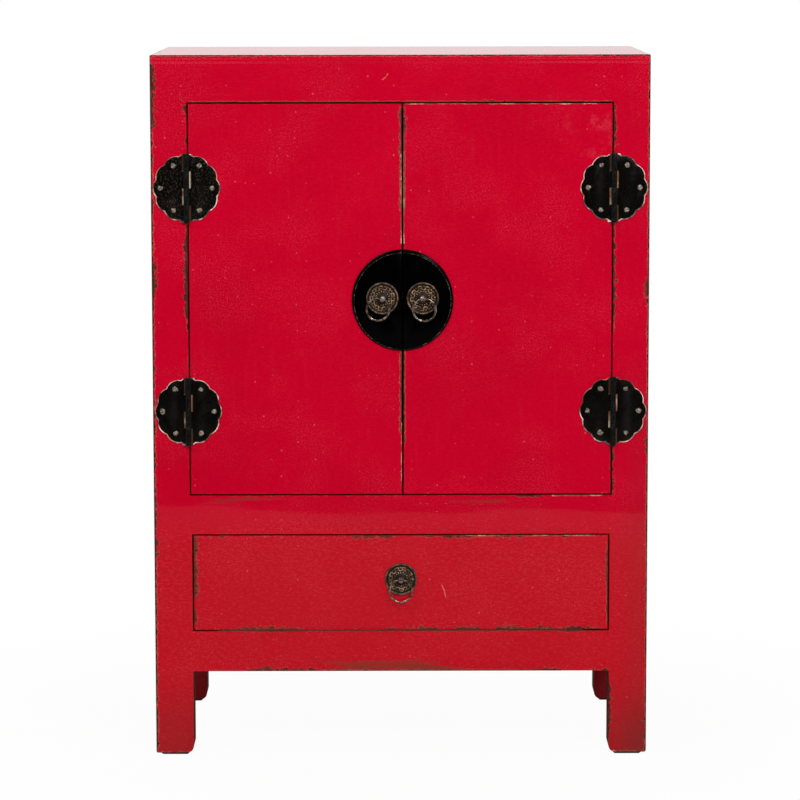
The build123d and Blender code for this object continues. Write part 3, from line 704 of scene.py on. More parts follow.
# %% Planes and edges
FACE, REAR, SIDE = ("y", FRONT_Y), ("y", BACK_Y), ("out", OUTER)
LEFT, RIGHT = ("x", -OUTER), ("x", OUTER)
TOP, FOOT = ("z", top_high.z), ("z", post_low.z)
LINTEL_EDGE, APRON_EDGE, APRON_TOP = ("z", LINTEL_Z), ("z", apron_low.z), ("z", apron_high.z)
MIDDLE_TOP, MIDDLE_EDGE = ("z", middle_high.z), ("z", middle_low.z)
JAMB_X = door_high.x + DOOR_GAP
SEAM_Z = top_low.z
BACKWARDS, FORWARDS, DOWNWARDS = (0.0, 1.0, 0.0), (0.0, -1.0, 0.0), (0.0, 0.0, -1.0)


def spots_along(plane, along, *places):
    """Worn spots on a plane, each from its place along an axis, its radius and its amount."""
    return [(plane, (along, at), radius, amount) for at, radius, amount in places]


print("jamb", round(JAMB_X, 4), "seam", round(SEAM_Z, 4))

# %% Lacquer on the posts
front_post_red = lacquer("front_posts", "z", [
    (SIDE, FACE, 0.0058), (FOOT, FACE, 0.005), (SIDE, ("y", post_high.y), 0.002),
    (("out", LEG_INNER), FACE, 0.0014, ("z", 0.0, apron_low.z)),
    (("x", LEG_INNER), FACE, 0.0042, ("z", 0.03, 0.085)),
    (("out", LEG_INNER), FACE, 0.003, ("z", drawer_low.z, drawer_high.z)),
    (("out", JAMB_X), FACE, 0.0045, ("z", door_low.z, door_high.z)),
], spots=[
    *spots_along(LEFT, "z", (0.805, 0.055, 1.45), (0.285, 0.06, 0.9)),
    *spots_along(("x", -LEG_INNER), "z", (0.59, 0.07, 1.35)),
    *spots_along(("x", -JAMB_X), "z", (0.772, 0.032, 0.5)),
    *spots_along(("x", LEG_INNER), "z", (0.77, 0.04, 0.8), (0.585, 0.065, 1.0), (0.06, 0.045, 0.9)),
    *spots_along(("x", JAMB_X), "z", (0.335, 0.018, 0.9)),
    *spots_along(RIGHT, "z", (0.563, 0.026, 0.3)),
], rubbed=[
    (LEFT, FACE, 0.0034), (RIGHT, FACE, 0.0026), (("out", JAMB_X), FACE, 0.0022, ("z", 0.525, 0.65)),
], pale=[
    (("z", post_low.z + 0.0012), FACE, 0.0016),
], lines=[("z", SEAM_Z - 0.0008)], core=0.85, hinged=True, leg=True)
dress(front_post_red, "post_front_left", "post_front_right")

rear_post_red = lacquer("rear_posts", "z", [
    (SIDE, REAR, 0.008), (FOOT, REAR, 0.005), (SIDE, ("y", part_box("post_rear_right")[0].y), 0.002),
], spots=[
    *spots_along(LEFT, "z", (0.75, 0.07, 0.8), (0.3, 0.06, 0.8)),
    *spots_along(RIGHT, "z", (0.62, 0.07, 0.8), (0.16, 0.06, 0.9)),
], rubbed=[(SIDE, REAR, 0.0036)], leg=True)
dress(rear_post_red, "post_rear_left", "post_rear_right")

# %% Lacquer on the front rails
lintel_red = lacquer("lintel", "x", [
    (LINTEL_EDGE, FACE, 0.003),
], spots=spots_along(
    LINTEL_EDGE, "x", (-0.16, 0.055, 0.5), (-0.04, 0.045, 0.5), (0.15, 0.03, 0.8), (0.2, 0.025, 0.8),
), rubbed=[
    (LINTEL_EDGE, FACE, 0.0016),
], scratches=[
    ((-0.0225, 0.8245), (-0.0165, 0.829)), ((-0.0165, 0.829), (-0.0145, 0.8335)),
], lines=[("z", SEAM_Z - 0.0008)], core=0.1)
dress(lintel_red, "front_top_rail")

middle_red = lacquer("middle_rail", "x", [
    (MIDDLE_TOP, FACE, 0.003), (MIDDLE_EDGE, FACE, 0.0014),
], spots=spots_along(
    MIDDLE_TOP, "x", (-0.02, 0.03, 0.4), (0.155, 0.02, 0.9),
), pale=[
    (MIDDLE_TOP, FACE, 0.0018, ("x", 0.185, 0.244)),
], scuffs=[
    ((-0.235, -0.13), (0.313, 0.319)), ((0.04, 0.13), (0.311, 0.317)),
])
dress(middle_red, "front_middle_rail")

apron_red = lacquer("apron", "x", [
    (APRON_EDGE, FACE, 0.005), (APRON_TOP, FACE, 0.0018),
], spots=spots_along(
    APRON_EDGE, "x", (-0.1, 0.035, 0.7), (0.01, 0.09, 0.4), (0.178, 0.024, 0.9), (0.243, 0.02, 0.6),
), rubbed=[
    (APRON_EDGE, FACE, 0.002, ("x", -0.14, 0.19)),
], scuffs=[
    ((-0.11, 0.08), (0.104, 0.119)),
])
dress(apron_red, "front_bottom_rail")

# %% Lacquer on the other rails and the top
rear_rail_red = lacquer("rear_rails", "x", [
    (LINTEL_EDGE, REAR, 0.003), (APRON_EDGE, REAR, 0.004), (APRON_TOP, REAR, 0.002),
], spots=[
    *spots_along(APRON_EDGE, "x", (-0.15, 0.06, 0.7), (0.1, 0.05, 0.8)),
    *spots_along(APRON_TOP, "x", (0.03, 0.05, 0.7)),
    *spots_along(LINTEL_EDGE, "x", (-0.1, 0.06, 0.7)),
], rubbed=[(APRON_EDGE, REAR, 0.0018)])
dress(rear_rail_red, "rear_top_rail", "rear_bottom_rail")

side_rail_red = lacquer("side_rails", "y", [
    (SIDE, LINTEL_EDGE, 0.003), (SIDE, APRON_EDGE, 0.005), (SIDE, APRON_TOP, 0.002),
], spots=[
    *spots_along(APRON_EDGE, "y", (-0.05, 0.05, 0.8)),
    *spots_along(APRON_TOP, "y", (0.1, 0.04, 0.7)),
], rubbed=[(SIDE, APRON_EDGE, 0.0018)])
for side in ("left", "right"):
    dress(side_rail_red, f"side_top_rail_{side}", f"side_bottom_rail_{side}")

top_red = lacquer("top", "x", [
    (TOP, FACE, 0.0026), (TOP, SIDE, 0.005), (TOP, REAR, 0.005),
], spots=spots_along(
    TOP, "x", (-0.19, 0.055, 0.7), (0.06, 0.02, 0.7), (0.265, 0.035, 1.2),
), rubbed=[
    (TOP, FACE, 0.0022), (SIDE, FACE, 0.002), (SIDE, REAR, 0.003), (TOP, SIDE, 0.002), (TOP, REAR, 0.002),
], lines=[("z", SEAM_Z + 0.0044), ("z", SEAM_Z + 0.0006)], dull=0.11, bare=DOWNWARDS)
dress(top_red, "top_board")

# %% Lacquer on the panels
PANEL_FACE = ("out", panel_high.x)
for side, inward in (("left", 1.0), ("right", -1.0)):
    panel_red = lacquer(f"side_panel_{side}", "z", [
        (LINTEL_EDGE, PANEL_FACE, 0.002), (APRON_TOP, PANEL_FACE, 0.004),
    ], bare=(inward, 0.0, 0.0))
    dress(panel_red, f"side_panel_{side}")
back_red = lacquer("back_panel", "z", [(APRON_TOP, ("y", back_high.y), 0.004)], bare=FORWARDS)
dress(back_red, "back_panel")

# %% Lacquer on the doors and the drawer
LEFT_LIP, RIGHT_LIP = ("x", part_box("door_left")[1].x), ("x", door_low.x)
MEETING = ("x", (LEFT_LIP[1] + RIGHT_LIP[1]) / 2)
DOOR_HEAD, DOOR_FOOT = ("z", door_high.z), ("z", door_low.z)
door_red = lacquer("doors", "z", [
    (DOOR_HEAD, FACE, 0.0014), (DOOR_FOOT, FACE, 0.0018), (("out", door_high.x), FACE, 0.0018),
    (LEFT_LIP, FACE, 0.005), (RIGHT_LIP, FACE, 0.005),
], spots=spots_along(
    MEETING, "z", (0.773, 0.02, 0.9), (0.746, 0.01, 0.9), (0.705, 0.035, 0.45), (0.47, 0.035, 0.5),
    (0.42, 0.02, 0.5),
), rubbed=[
    (LEFT_LIP, FACE, 0.003, ("z", 0.67, 0.79)), (RIGHT_LIP, FACE, 0.0026, ("z", 0.67, 0.79)),
    (LEFT_LIP, FACE, 0.003, ("z", 0.4, 0.5)), (RIGHT_LIP, FACE, 0.0024, ("z", 0.39, 0.5)),
], pale=[
    (LEFT_LIP, FACE, 0.0015, ("z", 0.63, 0.735)), (RIGHT_LIP, FACE, 0.0015, ("z", 0.63, 0.74)),
    (LEFT_LIP, FACE, 0.0012, ("z", 0.34, 0.41)), (DOOR_HEAD, FACE, 0.0011, ("x", 0.005, 0.235)),
], hazes=spots_along(("x", 0.235), "z", (0.765, 0.045, 0.3)), core=0.1, bare=BACKWARDS, hinged=True)
dress(door_red, "door_left", "door_right")

DRAWER_TOP, DRAWER_FOOT = ("z", drawer_high.z), ("z", drawer_low.z)
DRAWER_LEFT, DRAWER_RIGHT = ("x", -drawer_high.x), ("x", drawer_high.x)
drawer_red = lacquer("drawer", "x", [
    (DRAWER_TOP, FACE, 0.005), (DRAWER_FOOT, FACE, 0.0056),
    (DRAWER_LEFT, FACE, 0.0056), (DRAWER_RIGHT, FACE, 0.0045),
], spots=[
    *spots_along(DRAWER_LEFT, "z", (0.233, 0.05, 1.3), (0.172, 0.016, 1.0)),
    *spots_along(DRAWER_RIGHT, "z", (0.233, 0.03, 1.1)),
    *spots_along(DRAWER_TOP, "x", (-0.034, 0.035, 0.9), (0.03, 0.02, 0.7), (0.072, 0.025, 0.9),
                 (0.13, 0.025, 1.0), (0.19, 0.025, 0.9)),
    *spots_along(DRAWER_FOOT, "x", (-0.17, 0.035, 0.65), (-0.128, 0.014, 0.8), (0.0, 0.03, 0.55),
                 (0.082, 0.022, 0.9), (0.133, 0.022, 1.0), (0.17, 0.02, 1.0), (0.228, 0.02, 0.9)),
], rubbed=[
    (DRAWER_TOP, FACE, 0.0018, ("x", 0.02, 0.235)), (DRAWER_RIGHT, FACE, 0.002, ("z", 0.165, 0.262)),
], pale=[
    (DRAWER_TOP, FACE, 0.0009, ("x", 0.08, 0.235)),
], scratches=[
    ((0.0492, 0.2125), (0.0532, 0.2035)), ((0.0522, 0.2075), (0.0548, 0.1955)),
], core=0.15, bare=BACKWARDS)
dress(drawer_red, "drawer_front")

# %% [markdown]
# The hinges are round plates cut from sheet in two halves, with a scalloped edge and rolled
# knuckles round a pin. They were blackened, and rubbing along the edge has bared a thin
# copper line, partly painted near white as a highlight. The solids have the right outline but
# every edge is knife sharp, so each leaf is copied, its loose triangles are joined up and its
# edges are rounded a little.

# %% Rounded copies of solids
DOUBLES = 1e-6
FLAT_ANGLE = math.radians(1.0)
SHARP_ANGLE = math.radians(35)
SHADE_ANGLE = math.radians(40)


def softened(node, width, material, body, steps=2):
    """A copy of a solid, joined up, with its sharp edges rounded. It replaces the solid."""
    form = bmesh.new()
    form.from_mesh(nodes[node].data)
    bmesh.ops.remove_doubles(form, verts=form.verts, dist=DOUBLES)
    bmesh.ops.dissolve_limit(form, angle_limit=FLAT_ANGLE, verts=form.verts, edges=form.edges)
    sharp = [e for e in form.edges if e.is_manifold and e.calc_face_angle() > SHARP_ANGLE]
    bmesh.ops.bevel(form, geom=sharp, offset=width, offset_type="OFFSET", segments=steps,
                    profile=0.5, affect="EDGES", clamp_overlap=True)
    bmesh.ops.remove_doubles(form, verts=form.verts, dist=DOUBLES)
    bmesh.ops.dissolve_degenerate(form, dist=DOUBLES, edges=form.edges)
    mesh = bpy.data.meshes.new(f"{node}_soft")
    form.to_mesh(mesh)
    form.free()
    mesh.materials.append(material)
    piece = bpy.data.objects.new(mesh.name, mesh)
    scene.collection.objects.link(piece)
    mesh.shade_smooth()
    mesh.set_sharp_from_angle(angle=SHADE_ANGLE)
    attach(piece, body)
    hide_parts(node)
    print(piece.name, "faces", len(mesh.polygons))


# %% Hinges
HINGE_RADIUS = 0.042
LOBES = 12
LOBE_RISE = 0.0025
LEAF_CLOSE = 0.0014
BARREL = (0.0039, 0.0036)
BARED_AND_LIT_RIM = (0.0013, 0.0006)
SHEEN_AT = 0.017
SHEEN_REACH = 0.009
LEAF_ROUNDING = 0.00022


def hinge_finish():
    material, place = new_finish("blackened_hinge")
    x, _, z = xyz(place)
    aside = abs(abs(x) - HINGE_X)
    across = aside + LEAF_CLOSE
    up = abs(z - HINGE_MIDDLE) - HINGE_HALF
    radius = (across * across + up * up).root()
    turn = up.math("ARCTAN2", up, across) * (LOBES / math.tau) - LOBES / 4 + 0.5
    phase = turn.math("FRACT", turn) - 0.5
    rim = HINGE_RADIUS - phase * phase * (4 * LOBE_RISE) - radius
    broken = noise(place, 55.0, 3.0, 0.6).ease(0.42, 0.6)
    barrel = aside.ease(*BARREL)
    bared_and_lit = rim.ease(*BARED_AND_LIT_RIM) * (0.12 + broken * 0.88) * (1 - barrel)
    rusty = x.ease(0.0, -0.1) * z.ease(HINGE_MIDDLE, HINGE_UPPER)
    mottle = noise(place, 620.0, 2.0, 0.6).ease(0.55, 0.7) * (0.15 + 0.85 * rusty)
    sheen = abs(aside - SHEEN_AT).ease(SHEEN_REACH, 0.0) * noise(place, 30.0, 2.0).ease(0.4, 0.65)
    plate = mixed(sheen * 0.6, colour(4, 3, 2), colour(30, 25, 23))
    plate = mixed(mottle, plate, colour(70, 60, 46))
    rolled = noise(place, 420.0, 3.0, 0.7).ease(0.5, 0.75)
    knuckle = mixed(rolled, colour(10, 11, 10), colour(54, 58, 54))
    # The bared rim: copper, mixed by noise with near white as a painted highlight.
    copper_and_highlight = mixed(noise(place, 120.0).ease(0.4, 0.6), colour(226, 146, 118), colour(255, 238, 226))
    return set_shader(material, {
        "Base Color": mixed(bared_and_lit, mixed(barrel * 0.9, plate, knuckle), copper_and_highlight),
        "Roughness": 0.34 + mottle * 0.25,
        "Metallic": 0.1,
        "Specular IOR Level": 0.09,
        "Normal": bumped(noise(place, 160.0, 3.0) * 0.00035),
    })


blackened = hinge_finish()
for side in ("left", "right"):
    for level in ("upper", "lower"):
        hinge = f"hinge_{level}_{side}"
        softened(f"{hinge}_frame_leaf", LEAF_ROUNDING, blackened, "case")
        softened(f"{hinge}_door_leaf", LEAF_ROUNDING, blackened, f"{side}_door")

# %% [markdown]
# Each hinge is held by six nails with hammered heads, three on each leaf, set on an arc.
# Their places follow a rule, so a Geometry Nodes tree sets them out: it counts points, works
# out leaf, hinge and angle from the count, and puts a dented dome on each with its own turn
# and size. Last it pushes the points about with noise, so that no two heads are alike.

# %% Geometry Nodes helpers
def new_rule(name, inputs):
    """A Geometry Nodes tree with named inputs, and a wire for each of them."""
    tree = bpy.data.node_groups.new(name, "GeometryNodeTree")
    tree.interface.new_socket("Geometry", in_out="OUTPUT", socket_type="NodeSocketGeometry")
    for label, kind in {"Geometry": "Geometry", **inputs}.items():
        tree.interface.new_socket(label, in_out="INPUT", socket_type=f"NodeSocket{kind}")
    entry = tree.nodes.new("NodeGroupInput")
    return tree, {label: Wire(tree, entry.outputs[label]) for label in ("Geometry", *inputs)}


def end_rule(geometry, material):
    """Finish a tree: instances become plain mesh, and the mesh gets its material."""
    whole = geometry.node("GeometryNodeRealizeInstances", {}, {"Geometry": geometry})
    ended = whole.node("GeometryNodeSetMaterial", {}, {"Geometry": whole, "Material": material})
    leave = geometry.tree.nodes.new("NodeGroupOutput")
    geometry.tree.links.new(ended.socket, leave.inputs[0])


def grown(name, tree, values, body, replaced, start=None):
    """Run a tree on a start mesh and keep what it makes as a plain mesh on a body."""
    piece = bpy.data.objects.new(name, start or bpy.data.meshes.new(f"{name}_start"))
    scene.collection.objects.link(piece)
    modifier = piece.modifiers.new("rule", "NODES")
    modifier.node_group = tree
    for item in tree.interface.items_tree:
        if item.in_out == "INPUT" and item.name in values:
            modifier[item.identifier] = values[item.name]
    whole = piece.evaluated_get(bpy.context.evaluated_depsgraph_get())
    mesh = bpy.data.meshes.new_from_object(whole)
    piece.modifiers.remove(modifier)
    piece.data = mesh
    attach(piece, body)
    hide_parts(replaced)
    print(name, "faces", len(mesh.polygons))


# %% Rule for the nails
NAILS_PER_LEAF = 3
NAILS_PER_SIDE = 6
DENT_AREA = 0.2
DENT_DEPTH = 0.3
HEAD_UNDERSIDE = -0.12
NAIL_TILT = 0.1
NAIL_SMALLEST = (0.86, 0.86, 0.75)
NAIL_LARGEST = (1.1, 1.1, 1.0)
HAMMERING = (0.003, 0.001, 0.003)


def nail_places(size):
    """Points on the arcs of the leaves: the count gives side, hinge and nail."""
    count = size["Count"].node("GeometryNodeInputIndex", {}, {})
    nail = count.math("MODULO", count, float(NAILS_PER_LEAF)) - 1
    hinge = count.math("FLOOR", count / NAILS_PER_LEAF)
    lower = hinge.math("MODULO", hinge, 2.0)
    side = size["First Side"] + 2 * count.math("FLOOR", count / NAILS_PER_SIDE)
    angle = nail * size["Arc Step"]
    out = size["Hinge X"] + size["Outward"] * size["Arc Radius"] * angle.math("COSINE", angle)
    level = size["Middle Z"] + (1 - 2 * lower) * size["Half Z"]
    spot = count.node("ShaderNodeCombineXYZ", {}, {
        "X": side * out, "Y": size["Seat Y"],
        "Z": level + size["Arc Radius"] * angle.math("SINE", angle),
    })
    return spot.node("GeometryNodePoints", {}, {"Count": size["Count"], "Position": spot})


def nail_head(size):
    """A ball pressed to a dome, with a flat underside and a dent in its crown."""
    ball = size["Count"].node("GeometryNodeMeshIcoSphere", {}, {"Radius": 1.0, "Subdivisions": 4})
    x, y, z = xyz(ball.node("GeometryNodeInputPosition", {}, {}))
    dent = (1 - (x * x + y * y) / DENT_AREA).most(0.0) * DENT_DEPTH
    domed = ball.node("ShaderNodeCombineXYZ", {}, {
        "X": x * size["Head Radius"], "Y": y * size["Head Radius"],
        "Z": (z.most(HEAD_UNDERSIDE) - dent) * size["Head Height"],
    })
    return domed.node("GeometryNodeSetPosition", {}, {"Geometry": ball, "Position": domed})


def nail_rule():
    tree, size = new_rule("hinge_nails", {
        "Count": "Int", "First Side": "Float", "Outward": "Float", "Hinge X": "Float",
        "Seat Y": "Float", "Middle Z": "Float", "Half Z": "Float", "Arc Radius": "Float",
        "Arc Step": "Float", "Head Radius": "Float", "Head Height": "Float", "Seed": "Int",
        "Finish": "Material",
    })
    points, head = nail_places(size), nail_head(size)
    spin = head.node("FunctionNodeRandomValue", {"data_type": "FLOAT_VECTOR"}, {
        "Min": (math.pi / 2 - NAIL_TILT, 0.0, -NAIL_TILT),
        "Max": (math.pi / 2 + NAIL_TILT, math.tau, NAIL_TILT), "Seed": size["Seed"],
    })
    worn = head.node("FunctionNodeRandomValue", {"data_type": "FLOAT_VECTOR"}, {
        "Min": NAIL_SMALLEST, "Max": NAIL_LARGEST, "Seed": size["Seed"] + 7,
    })
    heads = head.node("GeometryNodeInstanceOnPoints", {}, {
        "Points": points, "Instance": head, "Rotation": spin, "Scale": worn,
    })
    loose = heads.node("GeometryNodeRealizeInstances", {}, {"Geometry": heads})
    where = loose.node("GeometryNodeInputPosition", {}, {})
    push = noise(where, 330.0, 1.0).beside("Color")
    push = push.node("ShaderNodeVectorMath", {"operation": "SUBTRACT"}, {0: push, 1: (0.5, 0.5, 0.5)})
    push = stretched(push, HAMMERING)
    hammered = push.node("GeometryNodeSetPosition", {}, {"Geometry": loose, "Offset": push})
    smooth = hammered.node("GeometryNodeSetShadeSmooth", {}, {"Geometry": hammered})
    end_rule(smooth, size["Finish"])
    return tree


# %% Nails
SOLID_HEAD = 0.002
NAIL_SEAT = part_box("frame_hinge_nails")[0].y + SOLID_HEAD
NAIL_SIZES = {
    "Hinge X": HINGE_X, "Seat Y": NAIL_SEAT, "Middle Z": HINGE_MIDDLE, "Half Z": HINGE_HALF,
    "Arc Radius": 0.031, "Arc Step": math.radians(60), "Head Radius": 0.0034, "Head Height": 0.0019,
}
NAIL_SETS = {
    "case": ("frame_hinge_nails", 2 * NAILS_PER_SIDE, -1.0, 1.0, 3),
    "left_door": ("door_hinge_nails_left", NAILS_PER_SIDE, -1.0, -1.0, 11),
    "right_door": ("door_hinge_nails_right", NAILS_PER_SIDE, 1.0, -1.0, 19),
}


def nail_finish():
    material, place = new_finish("hammered_nail")
    _, y, _ = xyz(place)
    crown = (y * -1 + NAIL_SEAT).ease(0.0002, 0.0016)
    tone = noise(place, 700.0, 3.0).ease(0.35, 0.68)
    steel = mixed(tone, colour(86, 73, 60), colour(190, 178, 158))
    return set_shader(material, {
        "Base Color": mixed(crown, colour(38, 30, 24), steel),
        "Roughness": 0.34 + tone * 0.2,
        "Metallic": 0.35,
        "Normal": bumped(noise(place, 1500.0, 2.0) * 0.00012),
    })


NAIL_TREE = nail_rule()
nail_metal = nail_finish()
for body, (replaced, count, first_side, outward, seed) in NAIL_SETS.items():
    grown(f"nails_{body}", NAIL_TREE, {
        **NAIL_SIZES, "Count": count, "First Side": first_side, "Outward": outward, "Seed": seed,
        "Finish": nail_metal,
    }, body, replaced)

# %% [markdown]
# The lock plate is a black disc of sheet metal, cut in two at the meeting line, with its
# edge filed to a slope. Where the slope meets the flat face a fine broken pale line is painted:
# black rubbed off, and a painted highlight where that edge catches the light. It keeps the
# shape of its solid, with the arrises taken off.

# %% Lock plate
plate_left, plate_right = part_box("lock_plate_left"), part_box("lock_plate_right")
LOCK_X = (plate_left[0].x + plate_right[1].x) / 2
LOCK_Z = (plate_left[0].z + plate_left[1].z) / 2
LOCK_RADIUS = (plate_right[1].x - plate_left[0].x) / 2
LINE_DROP = 0.0012
HIGHLIGHT_LINE_INSET = 0.0027
LOCK_ROUNDING = 0.0003


def lock_finish():
    material, place = new_finish("black_plate")
    x, _, z = xyz(place)
    across, up = x - LOCK_X, z - (LOCK_Z - LINE_DROP)
    radius = (across * across + up * up).root()
    broken = noise(place, 210.0, 3.0, 0.7).ease(0.47, 0.62)
    # A fine pale ring where the slope meets the face: rubbed metal and a painted highlight of that edge.
    rubbed = abs(radius - (LOCK_RADIUS - HIGHLIGHT_LINE_INSET)).ease(0.0006, 0.0002) * (0.04 + broken * 0.5)
    smear = noise(place, 40.0, 4.0, 0.65)
    black = mixed(smear.ease(0.55, 0.8) * 0.5, colour(1, 1, 1), colour(6, 6, 6))
    return set_shader(material, {
        "Base Color": mixed(rubbed, black, colour(136, 120, 108)),
        "Roughness": 0.16 + smear * 0.1,
        "Specular IOR Level": 0.03,
        "Normal": bumped(noise(place, 45.0) * 0.0003),
    })


lock_black = lock_finish()
for side in ("left", "right"):
    softened(f"lock_plate_{side}", LOCK_ROUNDING, lock_black, f"{side}_door")
print("lock plate radius", round(LOCK_RADIUS, 4))

# %% [markdown]
# The pulls are cast: a small round plate with a bead round its rim and a sunk field full of
# raised strokes, a ball with an eye through it, and a wire ring. The body of the plate is
# turned from a profile. The strokes repeat in nine equal parts, so a Geometry Nodes tree
# sets them round the middle, each a little bar with sloping sides, as a mould needs.

# %% Turned body of a pull plate
# Radius and height of the profile's corners, in millimetres.
PLATE_PROFILE = [
    (0.0, 2.3), (5.0, 2.4), (6.0, 2.0), (6.6, 1.2), (16.8, 1.1), (17.3, 1.4), (17.6, 2.2), (18.0, 2.7),
    (18.6, 2.8), (19.1, 2.4), (19.4, 1.6), (19.5, 0.6), (19.3, 0.0), (0.0, 0.0),
]
BEAD_RADIUS = 17.5
BEAD_HEIGHT = 1.5
BEAD_RELIEF = 0.45


def turned_plate(name, steps=96):
    """A closed plate turned from the profile, seat down, with its relief stored on its points."""
    form = bmesh.new()
    relief = form.verts.layers.float.new("raised")
    rows = []
    for radius, height in PLATE_PROFILE:
        row = []
        for step in range(steps if radius else 1):
            angle = math.tau * step / steps
            spot = (radius * math.cos(angle) / 1000, radius * math.sin(angle) / 1000, height / 1000)
            vert = form.verts.new(spot)
            vert[relief] = BEAD_RELIEF if radius > BEAD_RADIUS and height > BEAD_HEIGHT else 0.0
            row.append(vert)
        rows.append(row)
    for inner, outer in zip(rows, rows[1:]):
        for step in range(steps):
            pair = [row[step % len(row)] for row in (inner, outer)]
            after = [row[(step + 1) % len(row)] for row in (outer, inner)]
            form.faces.new(list(dict.fromkeys(pair + after)))
    bmesh.ops.recalc_face_normals(form, faces=form.faces)
    mesh = bpy.data.meshes.new(name)
    form.to_mesh(mesh)
    form.free()
    mesh.shade_smooth()
    return mesh


# %% Rule for the cast strokes
# Radius in millimetres, angle in degrees, length in millimetres, and whether it runs round.
STROKES = [
    (14.7, 10.0, 6.0, True), (12.7, 0.0, 5.2, False), (10.6, -10.0, 4.6, True),
    (12.7, -20.0, 5.2, False), (14.4, -10.0, 2.2, True), (11.8, 10.0, 2.6, True),
    (8.5, 10.0, 2.8, False), (8.0, -10.0, 1.8, False),
]
UPRIGHT = (math.pi / 2, 0.0, 0.0)


def fret_rule():
    tree, size = new_rule("cast_strokes", {
        "Sectors": "Int", "Stroke Width": "Float", "Stroke Height": "Float", "Field Height": "Float",
        "Turn": "Float", "Centre": "Vector", "Finish": "Material",
    })
    bar = size["Sectors"].node("GeometryNodeMeshCone", {}, {
        "Vertices": 4, "Radius Top": 0.42, "Radius Bottom": 0.75, "Depth": 1.0,
    })
    bar = bar.node("GeometryNodeTransform", {}, {"Geometry": bar, "Rotation": (0.0, 0.0, math.pi / 4)})
    bar = bar.node("GeometryNodeStoreNamedAttribute", {"data_type": "FLOAT", "domain": "POINT"},
                   {"Geometry": bar, "Name": "raised", "Value": 1.0})
    joined = bar.tree.nodes.new("GeometryNodeJoinGeometry")
    bar.tree.links.new(size["Geometry"].socket, joined.inputs[0])
    count = bar.node("GeometryNodeInputIndex", {}, {})
    for radius, offset, length, round_way in STROKES:
        turn = count / size["Sectors"] * math.tau + math.radians(offset) + size["Turn"]
        spot = turn.node("ShaderNodeCombineXYZ", {}, {
            "X": turn.math("COSINE", turn) * (radius / 1000),
            "Y": turn.math("SINE", turn) * (radius / 1000), "Z": size["Field Height"],
        })
        points = spot.node("GeometryNodePoints", {}, {"Count": size["Sectors"], "Position": spot})
        way = turn + (math.pi / 2 if round_way else 0.0)
        bars = points.node("GeometryNodeInstanceOnPoints", {}, {
            "Points": points, "Instance": bar,
            "Rotation": way.node("ShaderNodeCombineXYZ", {}, {"Z": way}),
            "Scale": way.node("ShaderNodeCombineXYZ", {}, {
                "X": length / 1000, "Y": size["Stroke Width"], "Z": size["Stroke Height"]}),
        })
        bar.tree.links.new(bars.socket, joined.inputs[0])
    whole = Wire(bar.tree, joined.outputs[0])
    upright = whole.node("GeometryNodeTransform", {}, {
        "Geometry": whole, "Translation": size["Centre"], "Rotation": UPRIGHT,
    })
    end_rule(upright, size["Finish"])
    return tree


# %% Pull plates
FRET_SIZES = {"Sectors": 9, "Stroke Width": 0.0016, "Stroke Height": 0.0014, "Field Height": 0.0011}
PLATE_TURNS = {"left": 8.0, "right": 15.0, "drawer": 22.5}
PULLS = {"left": "left_door", "right": "right_door", "drawer": "drawer"}


def cast_finish(name, seat_y):
    material, place = new_finish(name)
    raised = place.node("ShaderNodeAttribute", {"attribute_name": "raised"}, {}, "Fac")
    _, y, _ = xyz(place)
    proud = (seat_y - y).ease(0.0012, 0.0023)
    tone = noise(place, 260.0, 3.0, 0.6)
    bronze = mixed(tone.ease(0.4, 0.64), colour(108, 78, 54), colour(214, 176, 136))
    dark = mixed(tone.ease(0.4, 0.7), colour(14, 10, 8), colour(36, 24, 18))
    top = raised * proud * (0.55 + 0.45 * noise(place, 120.0).ease(0.35, 0.6))
    return set_shader(material, {
        "Base Color": mixed(top, dark, bronze),
        "Roughness": 0.36 + tone * 0.2,
        "Metallic": 0.45,
        "Normal": bumped(noise(place, 800.0, 2.0) * 0.00015),
    })


FRET_TREE = fret_rule()
for side, body in PULLS.items():
    plate_low, plate_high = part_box(f"pull_plate_{side}")
    middle = (plate_low + plate_high) / 2
    grown(f"pull_plate_{side}_cast", FRET_TREE, {
        **FRET_SIZES, "Turn": math.radians(PLATE_TURNS[side]),
        "Centre": (middle.x, plate_high.y, middle.z),
        "Finish": cast_finish(f"cast_bronze_{side}", plate_high.y),
    }, body, f"pull_plate_{side}", turned_plate(f"plate_{side}"))

# %% [markdown]
# A ring is a length of wire bent round and closed, so it is never quite true. A Geometry
# Nodes tree sweeps a round wire along a circle and lets its thickness wander a little. The
# eye keeps its solid's shape, joined up and rounded. Fingers keep both of them bright.

# %% Eyes and rings
RING_SIDES = 96
WIRE_SIDES = 16
WIRE_THINNEST = 0.86
WIRE_WANDER = 0.22
EYE_ROUNDING = 0.0002


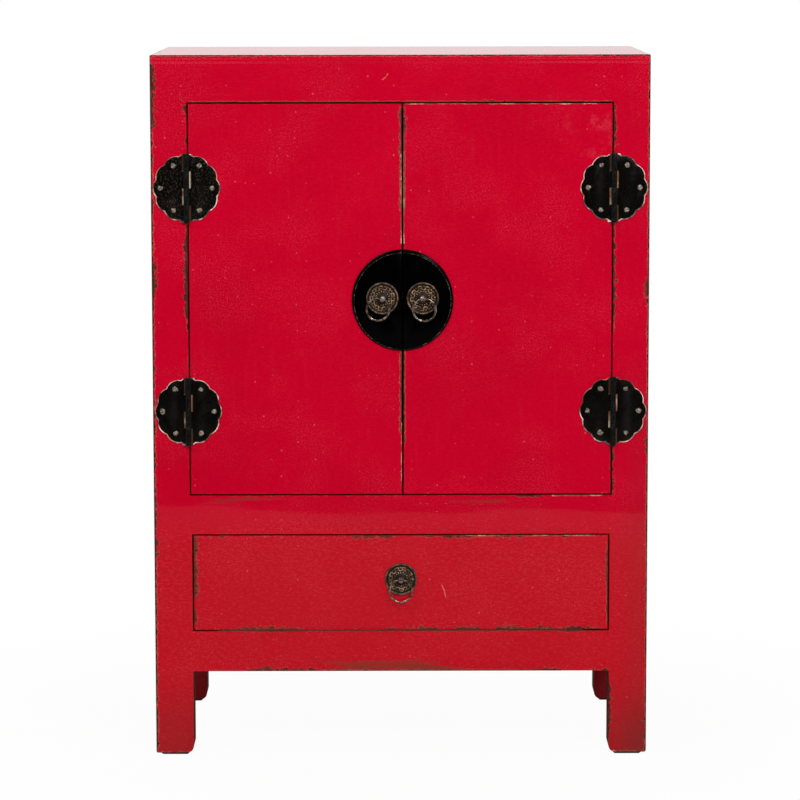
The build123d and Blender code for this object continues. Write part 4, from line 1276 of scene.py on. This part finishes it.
def ring_rule():
    tree, size = new_rule("wire_ring", {
        "Radius": "Float", "Wire Radius": "Float", "Centre": "Vector", "Finish": "Material",
    })
    loop = size["Radius"].node("GeometryNodeCurvePrimitiveCircle", {"mode": "RADIUS"}, {
        "Resolution": RING_SIDES, "Radius": size["Radius"],
    })
    at = loop.node("GeometryNodeInputPosition", {}, {})
    uneven = loop.node("GeometryNodeSetCurveRadius", {}, {
        "Curve": loop, "Radius": WIRE_THINNEST + WIRE_WANDER * noise(at, 140.0, 1.0),
    })
    wire = loop.node("GeometryNodeCurvePrimitiveCircle", {"mode": "RADIUS"}, {
        "Resolution": WIRE_SIDES, "Radius": size["Wire Radius"],
    })
    swept = uneven.node("GeometryNodeCurveToMesh", {}, {"Curve": uneven, "Profile Curve": wire})
    hung = swept.node("GeometryNodeTransform", {}, {
        "Geometry": swept, "Translation": size["Centre"], "Rotation": UPRIGHT,
    })
    smooth = hung.node("GeometryNodeSetShadeSmooth", {}, {"Geometry": hung})
    end_rule(smooth, size["Finish"])
    return tree


def handled_metal():
    material, place = new_finish("handled_bronze")
    tone = noise(place, 210.0, 3.0, 0.6)
    return set_shader(material, {
        "Base Color": mixed(tone.ease(0.38, 0.64), colour(70, 56, 46), colour(166, 150, 132)),
        "Roughness": 0.13 + tone * 0.16,
        "Metallic": 0.85,
        "Normal": bumped(noise(place, 500.0, 2.0) * 0.00012),
    })


RING_TREE = ring_rule()
handled = handled_metal()
for side, body in PULLS.items():
    ring_low, ring_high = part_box(f"pull_ring_{side}")
    middle = (ring_low + ring_high) / 2
    wire_radius = (ring_high.y - ring_low.y) / 2
    grown(f"ring_{side}_bent", RING_TREE, {
        "Radius": (ring_high.x - ring_low.x) / 2 - wire_radius, "Wire Radius": wire_radius,
        "Centre": tuple(middle), "Finish": handled,
    }, f"{side}_ring", f"pull_ring_{side}")
    softened(f"pull_eye_{side}", EYE_ROUNDING, handled, body, 1)

# %% [markdown]
# Last come the hinge pins, of which only the ends show, and the glides: short black feet of
# hard rubber that keep the posts off the floor. A plain pin and a plain block need no more
# shape than their solids have, so these stay and get a finish with some dust and scuffing.

# %% Pins and glides
def scuffed(name, dark, light, metallic):
    material, place = new_finish(name)
    scuff = noise(place, 320.0, 4.0, 0.65)
    return set_shader(material, {
        "Base Color": mixed(scuff.ease(0.42, 0.72), dark, light),
        "Roughness": 0.45 + scuff * 0.35,
        "Metallic": metallic,
        "Specular IOR Level": 0.25,
        "Normal": bumped(scuff * 0.0002),
    })


dress(scuffed("hinge_pin", colour(30, 24, 20), colour(112, 92, 70), 0.6), "hinge_pins")
dress(scuffed("rubber_glide", colour(12, 12, 12), colour(44, 42, 40), 0.0), "foot_glides")
